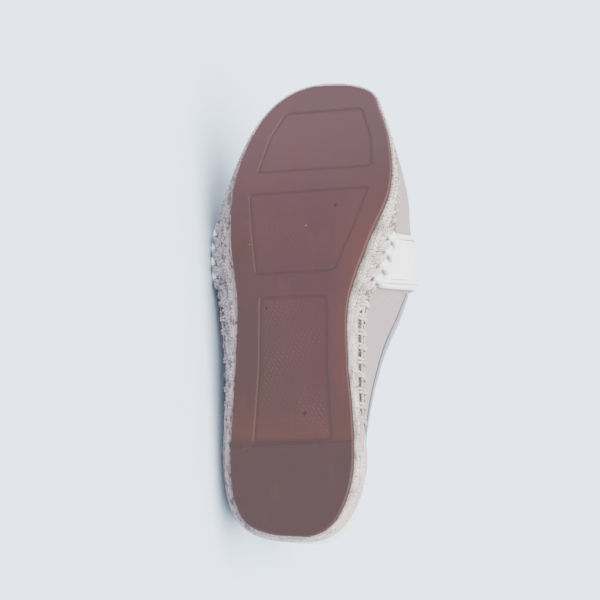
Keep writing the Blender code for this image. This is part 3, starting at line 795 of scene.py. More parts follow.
# rubber tread
tread = {
    "stepAlong": 0.00050,
    "across": 150,
    "bevel": 0.0008,
    "rim": 0.0003,
    "panelDepth": 0.00034,
    "panelSlope": 0.0005,
    "panelCorner": 0.0030,
    "grooveDepth": 0.00026,
    "grooveWidth": 0.0008,
    "hatchPitch": 0.0019,
    "hatchDepth": 0.00017,
    "hatchShare": {"toe": 0.25, "ball": 0.55, "waist": 1.0},
    "ribPitch": 0.0017,
    "ribDepth": 0.00013,
    "lineSlant": -0.09,
}


def panelDistance(x, y, rows):
    # Signed distance to a panel's rounded edge, negative inside
    outer = [(row[1] * last["ball"], row[0] * last["length"]) for row in rows]
    inner = [(row[3] * last["ball"], row[2] * last["length"]) for row in rows]
    centre = np.mean(outer + inner, axis=0)

    def edge(a, b):
        a, b = np.array(a), np.array(b)
        run = unit(b - a)
        normal = np.array((run[1], -run[0]))
        if normal @ (centre - a) > 0:
            normal = -normal
        return (x - a[0]) * normal[0] + (y - a[1]) * normal[1]

    def chain(a, b, c):
        # A side that bends inwards takes the nearer of its two edges
        chord = unit(np.array(c) - np.array(a))
        normal = np.array((chord[1], -chord[0]))
        bend = (np.array(b) - a) @ normal * np.sign((centre - a) @ normal)
        return (np.minimum if bend > 0 else np.maximum)(edge(a, b), edge(b, c))

    side = np.maximum(chain(*outer), chain(*inner)) + tread["panelCorner"]
    ends = np.maximum(edge(outer[0], inner[0]), edge(outer[-1], inner[-1])) + tread["panelCorner"]
    corner = np.hypot(np.maximum(side, 0), np.maximum(ends, 0))
    return corner - tread["panelCorner"] + np.minimum(np.maximum(side, ends), 0)


def treadRelief(x, y):
    # Height of the tread over the floor, and the values that colour it, painted shade along the grooves among
    # them
    start = last["heelLine"] * last["length"] + tread["lineSlant"] * x
    share = np.clip((y - start) / (last["archEnd"] * last["length"] - start), 0.0, 1.0)
    ahead = smooth(-0.0003, 0.0003, y - start)
    arch = last["heelStep"] * (1 - share**2) + last["archRise"] * np.sin(pi * share)
    height = ahead * np.where(share < 1, arch, 0.0) + springRise(y)
    # painted shade along the groove of the heel line and round each panel
    groove = np.exp(-((y - start) / 0.0005) ** 2) * 0.5
    strokes = np.zeros_like(x)
    for name, rows in panelRows.items():
        distance = panelDistance(x, y, rows)
        inside = smooth(tread["panelSlope"], -tread["panelSlope"], distance)
        line = np.exp(-((distance + tread["grooveWidth"]) / tread["grooveWidth"]) ** 2)
        groove = np.maximum(groove, line * 0.8)
        pillow = 1 - 0.35 * smooth(0.0, 0.012, -distance)
        height = height + inside * tread["panelDepth"] * pillow + line * tread["grooveDepth"]
        wobble = 0.00035 * np.sin(y * 410.0 + x * 150.0) + 0.0003 * np.sin(x * 620.0 - y * 95.0)
        lane = (x * 0.78 - y * 0.62 + wobble) / tread["hatchPitch"]
        way = (x * 0.62 + y * 0.78) * 2 * pi / (tread["hatchPitch"] * 1.7)
        hatch = np.sin(lane * 2 * pi) * (0.6 + 0.4 * np.sin(way + np.floor(lane) * 2.4))
        patchy = np.sin(x * 95.0 + 1.3 + 2.0 * np.sin(y * 61.0)) * np.sin(y * 83.0 + x * 40.0)
        wear = (0.5 + 0.5 * patchy) ** 1.4
        depth = tread["hatchDepth"] * tread["hatchShare"][name] * wear
        within = inside * smooth(0.0015, 0.004, -distance)
        height = height - within * depth * hatch
        strokes = strokes + within * depth / tread["hatchDepth"] * np.maximum(hatch, 0.0)
    rear = 1 - ahead
    ribs = 0.5 + 0.5 * np.sin((y + 0.05 * x) * 2 * pi / tread["ribPitch"])
    height = height + rear * tread["ribDepth"] * ribs
    return height, groove, strokes, rear


# dark specks trodden into the rubber: across, along, size
treadSpecks = (
    (-0.0062, 0.0657, 0.0013),
    (-0.0163, 0.1822, 0.0011),
    (0.0194, 0.1231, 0.0011),
    (0.0192, 0.1247, 0.0006),
    (0.0242, 0.0437, 0.0007),
)


def makeTread():
    length, bevel, rim, top = last["length"], tread["bevel"], tread["rim"], last["rubber"]
    stops = np.arange(0.004, length - 0.004, tread["stepAlong"])
    flat = np.degrees(np.arccos(1 - 2 * stops / length))
    ends = np.arange(0.0, flat[0], 1.2)
    half = np.concatenate([ends, flat, 180.0 - ends[::-1]])
    outer = solePoint(half, -bevel, 0.0)
    inner = solePoint(360.0 - half, -bevel, 0.0)
    wide = tread["across"] + 1
    share = 0.35 * (1 - np.cos(np.linspace(0, pi, wide))) / 2 + 0.65 * np.linspace(0, 1, wide)
    grid = outer[1:-1, None] * (1 - share[None, :, None]) + inner[1:-1, None] * share[None, :, None]
    grid[..., 2], groove, strokes, rear = treadRelief(grid[..., 0], grid[..., 1])
    rows, base = len(grid), len(grid) * wide
    # the border of the grid: heel end, outer side, toe end, inner side
    border = list(range(wide - 1, -1, -1)) + [row * wide for row in range(1, rows)]
    border += [(rows - 1) * wide + i for i in range(1, wide)]
    border += [row * wide + wide - 1 for row in range(rows - 2, 0, -1)]
    size = len(border)
    rings = [grid.reshape(-1, 3)]
    edge = rings[0][border]
    turns = np.degrees(np.arccos(np.clip(1 - 2 * edge[:, 1] / length, -1, 1)))
    centre = (outline(turns)[:, 0] + outline(360.0 - turns)[:, 0]) / 2
    turns = np.where(edge[:, 0] >= centre, turns, 360.0 - turns)
    wallRows = (
        (-bevel * 0.3, 0.0002), (0.0, bevel), (0.00035, 0.0022),
        (rim, top - 0.0004), (rim - 0.0002, top), (-0.002, top),
    )
    for offset, rise in wallRows:
        ring = solePoint(turns, np.full(size, offset), rise)
        low = edge[:, 2] - springRise(edge[:, 1])
        ring[:, 2] += low * (1 - rise / top)
        rings.append(ring)
    faces = loftFaces(rows, wide, closedRing=False)
    for i in range(size):
        k = (i + 1) % size
        faces.append((border[i], border[k], base + k, base + i))
    faces += loftFaces(len(wallRows), size, start=base)
    lid = base + (len(wallRows) - 1) * size
    faces.append(tuple(range(lid, lid + size)))
    points = np.concatenate(rings)
    bare = np.zeros(len(points) - base)
    x, y = points[:, 0], points[:, 1] / length
    # worn warmer along the inner side and before the heel pad
    inwards = smooth(0.15, 0.34, -x / last["ball"])
    warm = inwards * smooth(0.20, 0.36, y) * smooth(0.80, 0.62, y)
    warm = warm + 0.7 * smooth(0.30, 0.20, y) * smooth(0.19, 0.21, y)
    speck = np.zeros(len(points))
    for across, along, spread in treadSpecks:
        away = np.hypot(x - across, (points[:, 1] - along) * 0.8)
        speck = np.maximum(speck, smooth(spread, spread * 0.4, away) * 0.85)
    marks = {
        "warm": warm,
        "hatch": np.concatenate([strokes.ravel(), bare]),
        "speck": speck,
        "groove": np.concatenate([groove.ravel(), bare]),
        "heel": np.concatenate([rear.ravel(), (y[base:] < last["heelLine"]).astype(float)]) * 0.85,
        "toward": smooth(0.62, 0.95, y) * 0.75,
        "edge": np.concatenate([np.zeros(base), np.repeat([0.2, 0.5, 0.5, 0.3, 0.2, 0.2], size)]),
    }
    made = putMesh("treadRubber", points, faces, looks["rubber"], uv=points[:, :2], marks=marks)
    turnOut(made)
    made.data.set_sharp_from_angle(angle=radians(50))
    return made


treadRubber = makeTread()
print("tread", len(treadRubber.data.polygons), "faces")


# jute sole: rope rows at its foot, and a ground behind the braid darkened as painted shade
rope = {
    "round": 2300,
    "rows": 30,
    "rowHeight": 0.0024,
    "pitch": 0.0020,
    "slant": 0.9,
    "depth": 0.00040,
    "proud": 0.00035,
    "ground": 0.0014,
    "outerGround": 0.0011,
    "skirt": -0.13,
}


def makeJuteCore():
    # Rows of slanted strands from the rubber up: low at plait and ladder, to the top at the heel
    turns = pairedTurns(rope["round"] // 2)
    count = len(turns)
    run = np.interp(turns, ringTurns, ringRun)
    y = outline(turns)[:, 1] / last["length"]
    ladderZone = smooth(0.52, 0.47, y)
    heelZone = smooth(0.28, 0.20, y)
    inner = (turns > 180.0) * 1.0
    outer = 1.0 - inner
    plain = np.maximum(heelZone * 0.75, ladderZone * inner * 0.8)
    top = 0.29 - 0.08 * ladderZone + 0.77 * heelZone
    luck = np.random.default_rng(7).random((64, 512))
    rings, shade, uvs = [], [], []

    def addRing(rise, offset, dark):
        rings.append(jutePoint(turns, rise, offset))
        shade.append(dark)
        uvs.append(np.stack([run, rise * last["jute"]], axis=1))

    addRing(np.full(count, -0.02), np.full(count, -0.0022), np.zeros(count))
    for row in range(rope["rows"]):
        rise = rope["skirt"] + (top - rope["skirt"]) * row / (rope["rows"] - 1)
        level = (rise - rope["skirt"]) * last["jute"] / rope["rowHeight"] + 0.3
        lane = level % 1.0
        number = np.floor(level).astype(int)
        crown = np.sin(pi * lane) ** 0.6
        side = np.where(number % 2 == 0, 1.0, -1.0)
        way = run / rope["pitch"] + side * lane * rope["slant"] + number * 0.37
        way = way + 0.22 * np.sin(run * 310.0 + number) * np.sin(run * 97.0)
        strand = np.abs(np.sin(pi * way))
        chance = luck[number % 64, np.floor(way).astype(int) % 512]
        gap = smooth(0.75, 0.10, strand) * (0.40 + 0.60 * chance)
        offset = rope["proud"] * crown - rope["depth"] * gap * 1.4 * (1 - 0.5 * plain)
        offset = offset + 0.0002 * np.sin(run * 130.0 + number * 2.0) * np.sin(run * 47.0 + 1.0)
        # painted shade: darker in the gaps between strands and between the rope rows
        dark = gap * (1 - 0.75 * plain) + (1 - crown) * 0.25 * (1 - 0.6 * plain)
        addRing(rise, offset, np.clip(dark, 0, 1))
    # the ground behind the braid is painted dark as its shade
    ground = (rope["ground"] + rope["outerGround"] * outer) * (1 - heelZone) + 0.0004 * heelZone
    for share in (0.04, 0.15, 0.35, 0.65, 0.90, 1.0):
        sink = ground + 0.0006 * (share > 0.95)
        addRing(top + (1 - top) * share, -sink, (0.88 - 0.7 * heelZone) * np.ones(count))
    marks = {"shade": np.concatenate(shade)}
    points, uv = np.concatenate(rings), np.concatenate(uvs)
    return turnOut(putMesh("juteCore", points, stackFaces(rings), looks["jute"], uv, marks))


juteCore = makeJuteCore()
print("jute core", len(juteCore.data.polygons), "faces")


# braid round the foot of the canvas: a ladder stitch behind, a plait in front
braid = {
    "step": 0.0007,
    "plaitStart": 0.485,
    "period": 0.0170,
    "strandDepth": 0.0012,
    "strandInset": -0.0025,
    "yarnTwist": 0.0090,
    "thinTwist": 0.0046,
    "rungPitch": 0.0081,
    "rungStart": 0.222,
    "outerSink": 0.0013,
    "plait": {"Yarns": 5, "Yarn Radius": 0.00058, "Yarn Orbit": 0.00125},
    "ladder": {"Yarns": 3, "Yarn Radius": 0.00050, "Yarn Orbit": 0.00046},
    "loops": {"Yarns": 3, "Yarn Radius": 0.00060, "Yarn Orbit": 0.00060},
}
# a rung from the rope up to the canvas: rise, offset, painted shade
rungRows = np.array((
    (0.16, -0.0011, 0.5), (0.22, -0.0002, 0.2), (0.30, 0.0001, 0.0), (0.40, 0.0005, 0.0), (0.50, 0.0006, 0.0),
    (0.62, 0.0003, 0.0), (0.75, 0.0003, 0.0), (0.87, 0.0005, 0.0), (0.96, 0.0, 0.1), (1.04, -0.0014, 0.5),
))
# a loop from a crease of the band down to the rope: rise, offset, way to the heel, spread, painted shade
loopRows = np.array((
    (0.98, -0.0030, 0.0, 0.0003, 0.7), (0.86, -0.0020, 0.0, 0.0004, 0.5),
    (0.74, -0.0016, 0.0001, 0.0004, 0.3), (0.62, -0.0012, 0.0003, 0.0006, 0.1),
    (0.53, -0.0006, 0.0009, 0.0011, 0.0), (0.45, 0.0002, 0.0018, 0.0016, 0.0),
    (0.37, 0.0006, 0.0030, 0.0018, 0.0), (0.28, 0.0006, 0.0042, 0.0018, 0.0),
    (0.20, 0.0002, 0.0052, 0.0016, 0.1), (0.12, -0.0008, 0.0058, 0.0013, 0.4),
))


def ropeFrame(turn, rise, offset):
    # Point on the braid's side, with its outward and upward directions
    def at(t, r):
        return jutePoint(t, r, offset - 0.0016 * smooth(0.80, 1.08, r))

    turn, rise = np.asarray(turn, dtype=float), np.asarray(rise, dtype=float)
    ahead = at(turn + 0.3, rise) - at(turn - 0.3, rise)
    climb = at(turn, rise + 0.06) - at(turn, rise - 0.06)
    out = unit(np.cross(ahead, climb))
    out = out * np.sign(np.sum(out * outward(turn), axis=-1, keepdims=True))
    return at(turn, rise), out, unit(climb)


def turnAt(run):
    return np.interp(np.asarray(run) % ringLength, ringRun, ringTurns)


def runAt(turn):
    return float(np.interp(turn, ringTurns, ringRun))


def growYarns(name, paths, settings):
    # Separate lines in one mesh, each with its directions, twist and painted shade, made into yarn
    edges, start = [], 0
    for path in paths:
        edges += lineEdges(len(path[0]), start)
        start += len(path[0])
    points, out, up, twist, deep = (np.concatenate(part) for part in zip(*paths))
    marks = {"twist": twist, "deep": deep}
    carrier = pathCarrier(name + "Path", points, edges, {"out": out, "up": up}, marks)
    return growTree(name, carrier, twisted, settings)


def twistAlong(points, pitch, start):
    return start + lengthAlong(points) * 2 * pi / pitch


def turnAtLength(share):
    return float(np.degrees(np.arccos(1 - 2 * share)))


def finer(rows, count):
    # Rows of values made into smooth runs of more points
    keys = np.linspace(0, 1, len(rows))
    return [np.interp(np.linspace(0, 1, count), keys, column) for column in rows.T]


def makePlait():
    first = turnAtLength(braid["plaitStart"])
    runs = np.arange(runAt(first), runAt(360.0 - first), braid["step"])
    turns = turnAt(runs)
    y = outline(turns)[:, 1] / last["length"]
    under = smooth(0.555, 0.580, y) * smooth(0.715, 0.690, y)
    theta = (runs - runs[0]) * 2 * pi / braid["period"]
    paths = []
    for strand in range(3):
        angle = theta + strand * 2 * pi / 3
        rise = 0.61 - 0.27 * under + (0.315 - 0.13 * under) * np.sin(angle)
        offset = braid["strandInset"] + braid["strandDepth"] * np.sin(2 * angle) - 0.0004 * under
        point, out, up = ropeFrame(turns, rise, offset)
        # painted shade: a strand is darker where it dips under the others
        deep = 0.75 * smooth(0.0, -1.0, np.sin(2 * angle))
        paths.append((point, out, up, twistAlong(point, braid["yarnTwist"], strand), deep))
    return growYarns("jutePlait", paths, braid["plait"])


def makeLadder():
    end = turnAtLength(braid["plaitStart"] + 0.03)
    start, stop = runAt(360.0 - end) - ringLength, runAt(end)
    runs = np.arange(start, stop, braid["step"])
    turns = turnAt(runs)
    paths = []
    wave = np.cos(2 * pi * runs / braid["rungPitch"])
    sunk = 0.0030 * smooth(0.26, 0.20, outline(turns)[:, 1] / last["length"])
    sunk = sunk + braid["outerSink"] * (turns < 180.0)
    for rise, inset, sway in ((0.47, -0.0003, 0.012), (0.93, -0.0002, 0.008)):
        point, out, up = ropeFrame(turns, rise + sway * wave, inset - sunk)
        paths.append((point, out, up, twistAlong(point, braid["thinTwist"], rise), np.zeros(len(point))))
    rng = np.random.default_rng(4)
    rises, insets, deep = finer(rungRows, 26)
    lean, part = np.linspace(-1, 1, len(rungRows)), np.linspace(1, 0, len(rungRows)) ** 2
    run = start + 0.001
    while run < stop:
        if outline(turnAt(run))[1] < braid["rungStart"] * last["length"]:
            run += braid["rungPitch"]
            continue
        slant = rng.normal(0.0, 0.0006)
        for side in (-1.0, 1.0):
            way = side * 0.00055 + slant * lean + side * 0.0007 * part
            at = turnAt(run + finer(way[:, None], 26)[0])
            sink = rng.normal(0, 0.0001) - braid["outerSink"] * (at < 180.0)
            point, out, up = ropeFrame(at, rises, insets + sink)
            twist = twistAlong(point, braid["thinTwist"], side)
            paths.append((point, out, unit(np.cross(out, up)), twist, deep))
        run += braid["rungPitch"]
    return growYarns("juteLadder", paths, braid["ladder"])


def makeLoops():
    # Jute stitches from the creases between the puffs down over the rope
    rng = np.random.default_rng(9)
    paths = []
    rises, insets, back, spread, deep = finer(loopRows, 34)
    span = last["bandFront"] - last["bandRear"]
    for crease in range(5):
        turn = last["bandRear"] - 0.9 + span * crease / 4
        for start, heelward in ((runAt(turn), -1.0), (runAt(360.0 - turn), 1.0)):
            for strand in (-1.0, 0.0, 1.0):
                run = start + heelward * back + strand * spread + rng.normal(0, 0.0002)
                point, out, up = ropeFrame(turnAt(run), rises, insets + rng.normal(0, 0.00015))
                twist = twistAlong(point, braid["thinTwist"], strand)
                paths.append((point, out, unit(np.cross(out, up)), twist, deep))
    return growYarns("juteLoops", paths, braid["loops"])


twisted = braidTree(looks["braid"])
jutePlait = makePlait()
juteLadder = makeLadder()
juteLoops = makeLoops()


# canvas upper
upperShape = {
    "heelSteps": 26,
    "quarterSteps": 60,
    "bandSteps": 14,
    "toeSteps": 56,
    "wallRows": 18,
    "ridgeRows": 26,
    "pucker": 0.00035,
    "puckerPitch": 0.0084,
    "slack": 0.0005,
}


def upperTurns():
    stops = (
        (0.0, 40.0, upperShape["heelSteps"]),
        (40.0, last["bandRear"], upperShape["quarterSteps"]),
        (last["bandRear"], last["bandFront"], upperShape["bandSteps"]),
        (last["bandFront"], 180.0, upperShape["toeSteps"]),
    )
    half = [a + (b - a) * i / n for a, b, n in stops for i in range(n)] + [180.0]
    return half + [360.0 - turn for turn in half[-2:0:-1]]


def clothPush(run, up, total):
    # How far the slack cloth stands off its last: puckers at the seam and soft hollows above
    pucker = 0.5 + 0.5 * np.cos(2 * pi * run / upperShape["puckerPitch"])
    pucker = -upperShape["pucker"] * pucker * np.exp(-up / 0.0045)
    wave = np.sin(run * 78.0 + up * 60.0) * np.sin(up * 95.0 + run * 21.0)
    slack = upperShape["slack"] * wave * smooth(0.004, 0.02, up) * smooth(0.0, 0.012, total - up)
    return pucker - np.abs(slack)


def wallColumns(turns):
    # Control curves of the wall at each turn, and whether the column runs to the ridge
    rear = last["bandRear"]
    curves = []
    for turn in turns:
        vamp = rear - 1e-6 <= turn <= 360.0 - rear + 1e-6
        curves.append((vamp, vampCurve(turn) if vamp else quarterCurve(turn)))
    return curves


def upperSurface():
    turns = upperTurns()
    wallShares = np.linspace(0, 1, upperShape["wallRows"] + 1) ** 1.15
    ridgeShares = np.linspace(0, 1, upperShape["ridgeRows"] + 1)[1:]
    share = last["collarShare"]
    vampShares = np.concatenate([wallShares * share, share + (1 - share) * ridgeShares])
    runs = np.interp(turns, ringTurns, ringRun)
    bm = bmesh.new()
    grid, climbs, places = [], [], []
    count = len(turns)
    top = len(vampShares) - 1
    for i, (vamp, curve) in enumerate(wallColumns(turns)):
        points = bezier(curve, vampShares if vamp else wallShares)
        up = lengthAlong(points)
        column = []
        for row, point in enumerate(points):
            partner = (count - i) % count
            if vamp and row == top and partner < i:
                column.append(grid[partner][top])
                continue
            column.append(bm.verts.new(point))
            places.append((runs[i], up[row], up[-1]))
        grid.append(column)
        climbs.append(up)
    faces, spots = {}, {}
    for i in range(count):
        right, climb = grid[(i + 1) % count], climbs[(i + 1) % count]
        here, there = runs[i], runs[i + 1] if i + 1 < count else ringLength
        for row in range(min(len(grid[i]), len(right)) - 1):
            corners = [grid[i][row], right[row], right[row + 1], grid[i][row + 1]]
            low, high = (here, climbs[i][row]), (here, climbs[i][row + 1])
            corners = dict(zip(corners, (low, (there, climb[row]), (there, climb[row + 1]), high)))
            faces[i, row] = bm.faces.new(list(corners))
            spots[i, row] = list(corners.values())
    bm.verts.index_update()
    bm.normal_update()
    places = np.array(places)
    push = clothPush(*places.T)
    for vert in bm.verts:
        vert.co += vert.normal * push[vert.index]
    bm.normal_update()
    for column in grid:
        column[0].normal = Vector((column[0].normal.x, column[0].normal.y, 0.0)).normalized()
    made = {
        "points": np.array([vert.co[:] for vert in bm.verts]),
        "normals": np.array([vert.normal[:] for vert in bm.verts]),
        "faces": {key: [vert.index for vert in face.verts] for key, face in faces.items()},
        "grid": [[vert.index for vert in column] for column in grid],
        "turns": turns,
        "places": places,
        "spots": spots,
        "collar": upperShape["wallRows"],
    }
    bm.free()
    return made


surface = upperSurface()


def makeShell(name, keys, inner, outer, skins, marks=None):
    # Closed wall between two offsets of the surface, with its own finish on the inside.
    # Its UVs are the cloth's own thread directions: round the sole and up the wall.
    points, normals, faces = surface["points"], surface["normals"], surface["faces"]
    used = sorted({index for key in keys for index in faces[key]})
    back = {index: i for i, index in enumerate(used)}
    count = len(used)
    outerPoints = points[used] + normals[used] * np.asarray(outer)[..., None]
    innerPoints = points[used] + normals[used] * np.asarray(inner)[..., None]
    quads, edges = [], {}
    for key in keys:
        ids = [back[index] for index in faces[key]]
        quads.append(tuple(ids))
        spots = surface["spots"][key]
        for a, b, first, second in zip(ids, ids[1:] + ids[:1], spots, spots[1:] + spots[:1]):
            edges[a, b] = (first, second)
    inside = [tuple(count + i for i in reversed(quad)) for quad in quads]
    bare = [(a, b) for a, b in edges if (b, a) not in edges]
    rims = [(b, a, count + a, count + b) for a, b in bare]
    uv = [spot for key in keys for spot in surface["spots"][key]]
    uv += [spot for key in keys for spot in reversed(surface["spots"][key])]
    uv += [spot for edge in bare for spot in (edges[edge][1], edges[edge][0], edges[edge][0], edges[edge][1])]
    both = {label: np.tile(values[used], 2) for label, values in (marks or {}).items()}
    made = putMesh(name, np.concatenate([outerPoints, innerPoints]), quads + inside + rims, skins, uv, both)
    if len(skins) > 1:
        slots = np.zeros(len(made.data.polygons), dtype=np.int32)
        slots[len(quads):len(quads) + len(inside)] = 1
        made.data.polygons.foreach_set("material_index", slots)
    return turnOut(made)


skins = [looks["canvas"], looks["lining"]]
canvasUpper = makeShell("canvasUpper", list(surface["faces"]), -last["wall"], 0.0, skins)
print("upper", len(canvasUpper.data.polygons), "faces")


# leather band over the instep
bandShape = {
    "footRows": 24,
    "fineRows": 12,
    "coarseRows": 34,
    "lift": 0.0003,
    "leather": 0.0013,
    "fold": 0.0005,
    "foldWidth": 0.0021,
    "stitchInset": 0.0030,
    "puffs": 4,
    "puffHeight": 0.0025,
    "footShift": -1.3,
    "columns": 72,
}
# the band's foot over the jute: share of its height, and offset from its side
bandFoot = (
    (0.52, -0.0030), (0.57, -0.0018), (0.65, -0.0013), (0.75, -0.0012),
    (0.85, -0.0014), (0.93, -0.0018), (0.99, -0.0021), (1.03, -0.0021),
)
# the rear hem turned in under the canvas: distance from the rear edge, and offset from the side
bandHem = np.array((
    (-0.0009, 0.0009), (-0.0013, -0.0002), (-0.0011, -0.0022), (-0.0004, -0.0033),
    (0.002, -0.0034), (0.004, -0.0034), (0.007, -0.0033), (0.007, -0.0024),
    (0.003, -0.0024), (-0.0002, -0.0022), (-0.00035, -0.0004), (-0.0001, 0.0003),
))


def evenly(points, count):
    run = lengthAlong(points)
    return lookUp(np.linspace(0, run[-1], count), run, points)


def bandGround():
    # Points under the band: rows from the outer foot over the ridge to the inner foot
    fine = np.linspace(0.012, 0.075, bandShape["fineRows"])
    shares = np.concatenate([fine, np.linspace(0.092, 1.0, bandShape["coarseRows"])])
    turns = np.linspace(last["bandRear"] - 1.2, last["bandFront"] + 0.8, 48)

    def column(turn, mirror):
        def place(t):
            return 360.0 - t if mirror else t

        shift = bandShape["footShift"]
        foot = np.array([jutePoint(place(turn + shift), rise, offset) for rise, offset in bandFoot])
        wall = []
        for share in shares:
            moved = turn + shift * (1 - smooth(0.0, last["collarShare"] * 0.9, share))
            wall.append(bezier(vampCurve(place(moved)), share))
        return np.concatenate([evenly(foot, bandShape["footRows"]), wall])

    outer = np.array([column(turn, False) for turn in turns])
    inner = np.array([column(turn, True) for turn in turns])
    grid = np.concatenate([outer, inner[:, -2::-1]], axis=1).transpose(1, 0, 2)
    normals = gridNormals(grid)
    if normals[len(grid) // 2, 20, 2] < 0:
        normals = -normals
    up = lengthAlong(grid[:, 20])
    shares = np.concatenate([np.zeros(bandShape["footRows"]), shares])
    return turns, np.concatenate([shares, shares[-2::-1]]), grid, normals, up


bandTurns, bandShares, bandGrid, bandNormals, bandUp = bandGround()


def bandRow(row):
    # Distance over the band from its rear edge, and lookups of point and normal by it
    points, normals = bandGrid[row], bandNormals[row]
    run = lengthAlong(points)
    zero = np.interp(last["bandRear"], bandTurns, run)
    width = np.interp(last["bandFront"], bandTurns, run) - zero
    run = run - zero

    def at(distance):
        return lookUp(distance, run, points), unit(lookUp(distance, run, normals))

    return at, width


def puffLift(distance, width, row, up):
    # Leather drawn into small pillows by the jute stitches over the band's foot
    foot = bandShape["footRows"]
    step = min(row, len(bandGrid) - 1 - row)
    lane = np.clip(distance / width, 0, 1) * bandShape["puffs"]
    across = (1 - np.abs(2 * (lane % 1.0) - 1) ** 3.2) ** 0.5
    share = min(step / (foot - 2.0), 1.0)
    rise = (1 - abs(2 * share - 1) ** 3.5) ** 0.5 if share < 1 else 0.0
    above = up - bandUp[foot - 1]
    dip = np.exp(-(above / 0.0011) ** 2) * 0.0009
    ends = smooth(-0.0002, 0.0012, np.minimum(distance, width - distance))
    swell = 0.0007 * np.exp(-((above - 0.0035) / 0.0028) ** 2) * across if above > 0 else 0.0
    return bandShape["puffHeight"] * across * rise * ends - dip + swell


def makeBand():
    rows = len(bandGrid)
    foot, seamInset = bandShape["footRows"], bandShape["stitchInset"]
    lift, leather, fold, foldWidth = (bandShape[key] for key in ("lift", "leather", "fold", "foldWidth"))
    near = np.array((0.0, 0.0006, 0.0013, foldWidth, foldWidth + 0.0005, seamInset, seamInset + 0.0006))
    rings, marks, uvs = [], [], []
    for row in range(rows):
        at, width = bandRow(row)
        up = min(bandUp[row], bandUp[-1] - bandUp[row])
        step = min(row, rows - 1 - row)
        onFoot = smooth(foot + 4.0, foot - 2.0, step)
        ends = near[-1] + 0.0006
        middle = np.linspace(ends, width - ends, bandShape["columns"] - 2 * len(near))
        distance = np.concatenate([near, middle, width - near[::-1]])
        inset = np.minimum(distance, width - distance)
        bead = fold * smooth(foldWidth + 0.0006, foldWidth - 0.0002, inset) * (1 - onFoot)
        edge = 1 - (1 - np.clip(inset / 0.0009, 0, 1)) ** 2
        groove = 0.00025 * np.exp(-((inset - seamInset) / 0.0005) ** 2) * (1 - onFoot)
        thick = leather * (1 - 0.75 * onFoot)
        height = lift + (thick + bead) * (0.35 + 0.65 * edge) - groove + puffLift(distance, width, row, up)
        ripple = np.sin(distance * 420.0 + up * 90.0) * np.sin(up * 130.0)
        height = height + 0.00030 * ripple * smooth(0.014, 0.026, up)
        flat = 1 - 0.6 * onFoot
        under, underLift = bandHem.T
        if bandShares[row] <= last["collarShare"] + 0.004:
            # the canvas is closed here, so the hem lies flat on it
            under = np.linspace(-0.0003, 0.004, 12)
            underLift = np.array((0.0010, 0.0006, 0.0004) + (lift,) * 9) * flat
        front = np.array((0.006, width - 0.004, width - 0.0003, width + 0.0003))
        frontLift = np.array((lift, lift, lift, 0.0009)) * flat
        ring = []
        for place, above in ((distance[::-1], height[::-1]), (under, underLift), (front, frontLift)):
            point, normal = at(place)
            ring.append(point + normal * above[:, None])
        rings.append(np.concatenate(ring))
        # painted shade: darker along the stitch groove, in the creases between the puffs, where the band's
        # foot meets its wall, and on the hem and front underneath
        seamShade = np.exp(-((inset - seamInset) / 0.0004) ** 2) * 0.35 * (1 - onFoot)
        lane = np.abs(np.sin(pi * np.clip(distance / width, 0, 1) * bandShape["puffs"]))
        creaseShade = onFoot * ((1 - lane) ** 1.7 * 1.6 + 0.6 * (step < 3))
        creaseShade = creaseShade + np.exp(-((up - bandUp[foot - 1]) / 0.0009) ** 2) * 0.75
        marks.append(np.concatenate([(seamShade + creaseShade)[::-1], np.full(16, 0.1)]))
        count = len(rings[-1])
        uvs.append(np.stack([np.linspace(0, 0.06, count), np.full(count, bandUp[row])], axis=1))
    marks = {"shade": np.clip(np.concatenate(marks), 0, 1)}
    points, uv = np.concatenate(rings), np.concatenate(uvs)
    return turnOut(putMesh("leatherBand", points, barFaces(rings), looks["leather"], uv, marks))


leatherBand = makeBand()
print("band", len(leatherBand.data.polygons), "faces")


def bandLine(inset, lift, fromRear=True):
    # A line along the band at a distance from one of its edges
    points, outs = [], []
    for row in range(len(bandGrid)):
        up = min(bandUp[row], bandUp[-1] - bandUp[row])
        if up < bandUp[bandShape["footRows"]] + 0.0025:
            continue
        at, width = bandRow(row)
        point, normal = at(np.array([inset if fromRear else width - inset]))
        points.append(point[0] + normal[0] * lift)
        outs.append(normal[0])
    return np.array(points), np.array(outs)


stitches = {
    "Pitch": 0.0016,
    "Length": 0.0010,
    "Thread Radius": 0.00024,
    "Rise": 0.00024,
}


def sewRow(name, points, outs):
    carrier = pathCarrier(name + "Path", points, lineEdges(len(points)), {"out": outs})
    return growTree(name, carrier, seam, stitches)


seam = stitchTree(looks["thread"])
bandTop, seamInset = bandShape["lift"] + bandShape["leather"], bandShape["stitchInset"]
sewn = [
    sewRow("bandRearStitches", *bandLine(seamInset, bandTop - 0.0001)),
    sewRow("bandSecondStitches", *bandLine(seamInset + 0.0026, bandTop)),
    sewRow("bandFrontStitches", *bandLine(seamInset, bandTop - 0.0001, fromRear=False)),
]


# heel patch, collar tape and sock
heelShape = {
    "turn": 40.0,
    "leather": 0.0012,
    "edge": 0.0012,
    "inset": 0.0024,
}


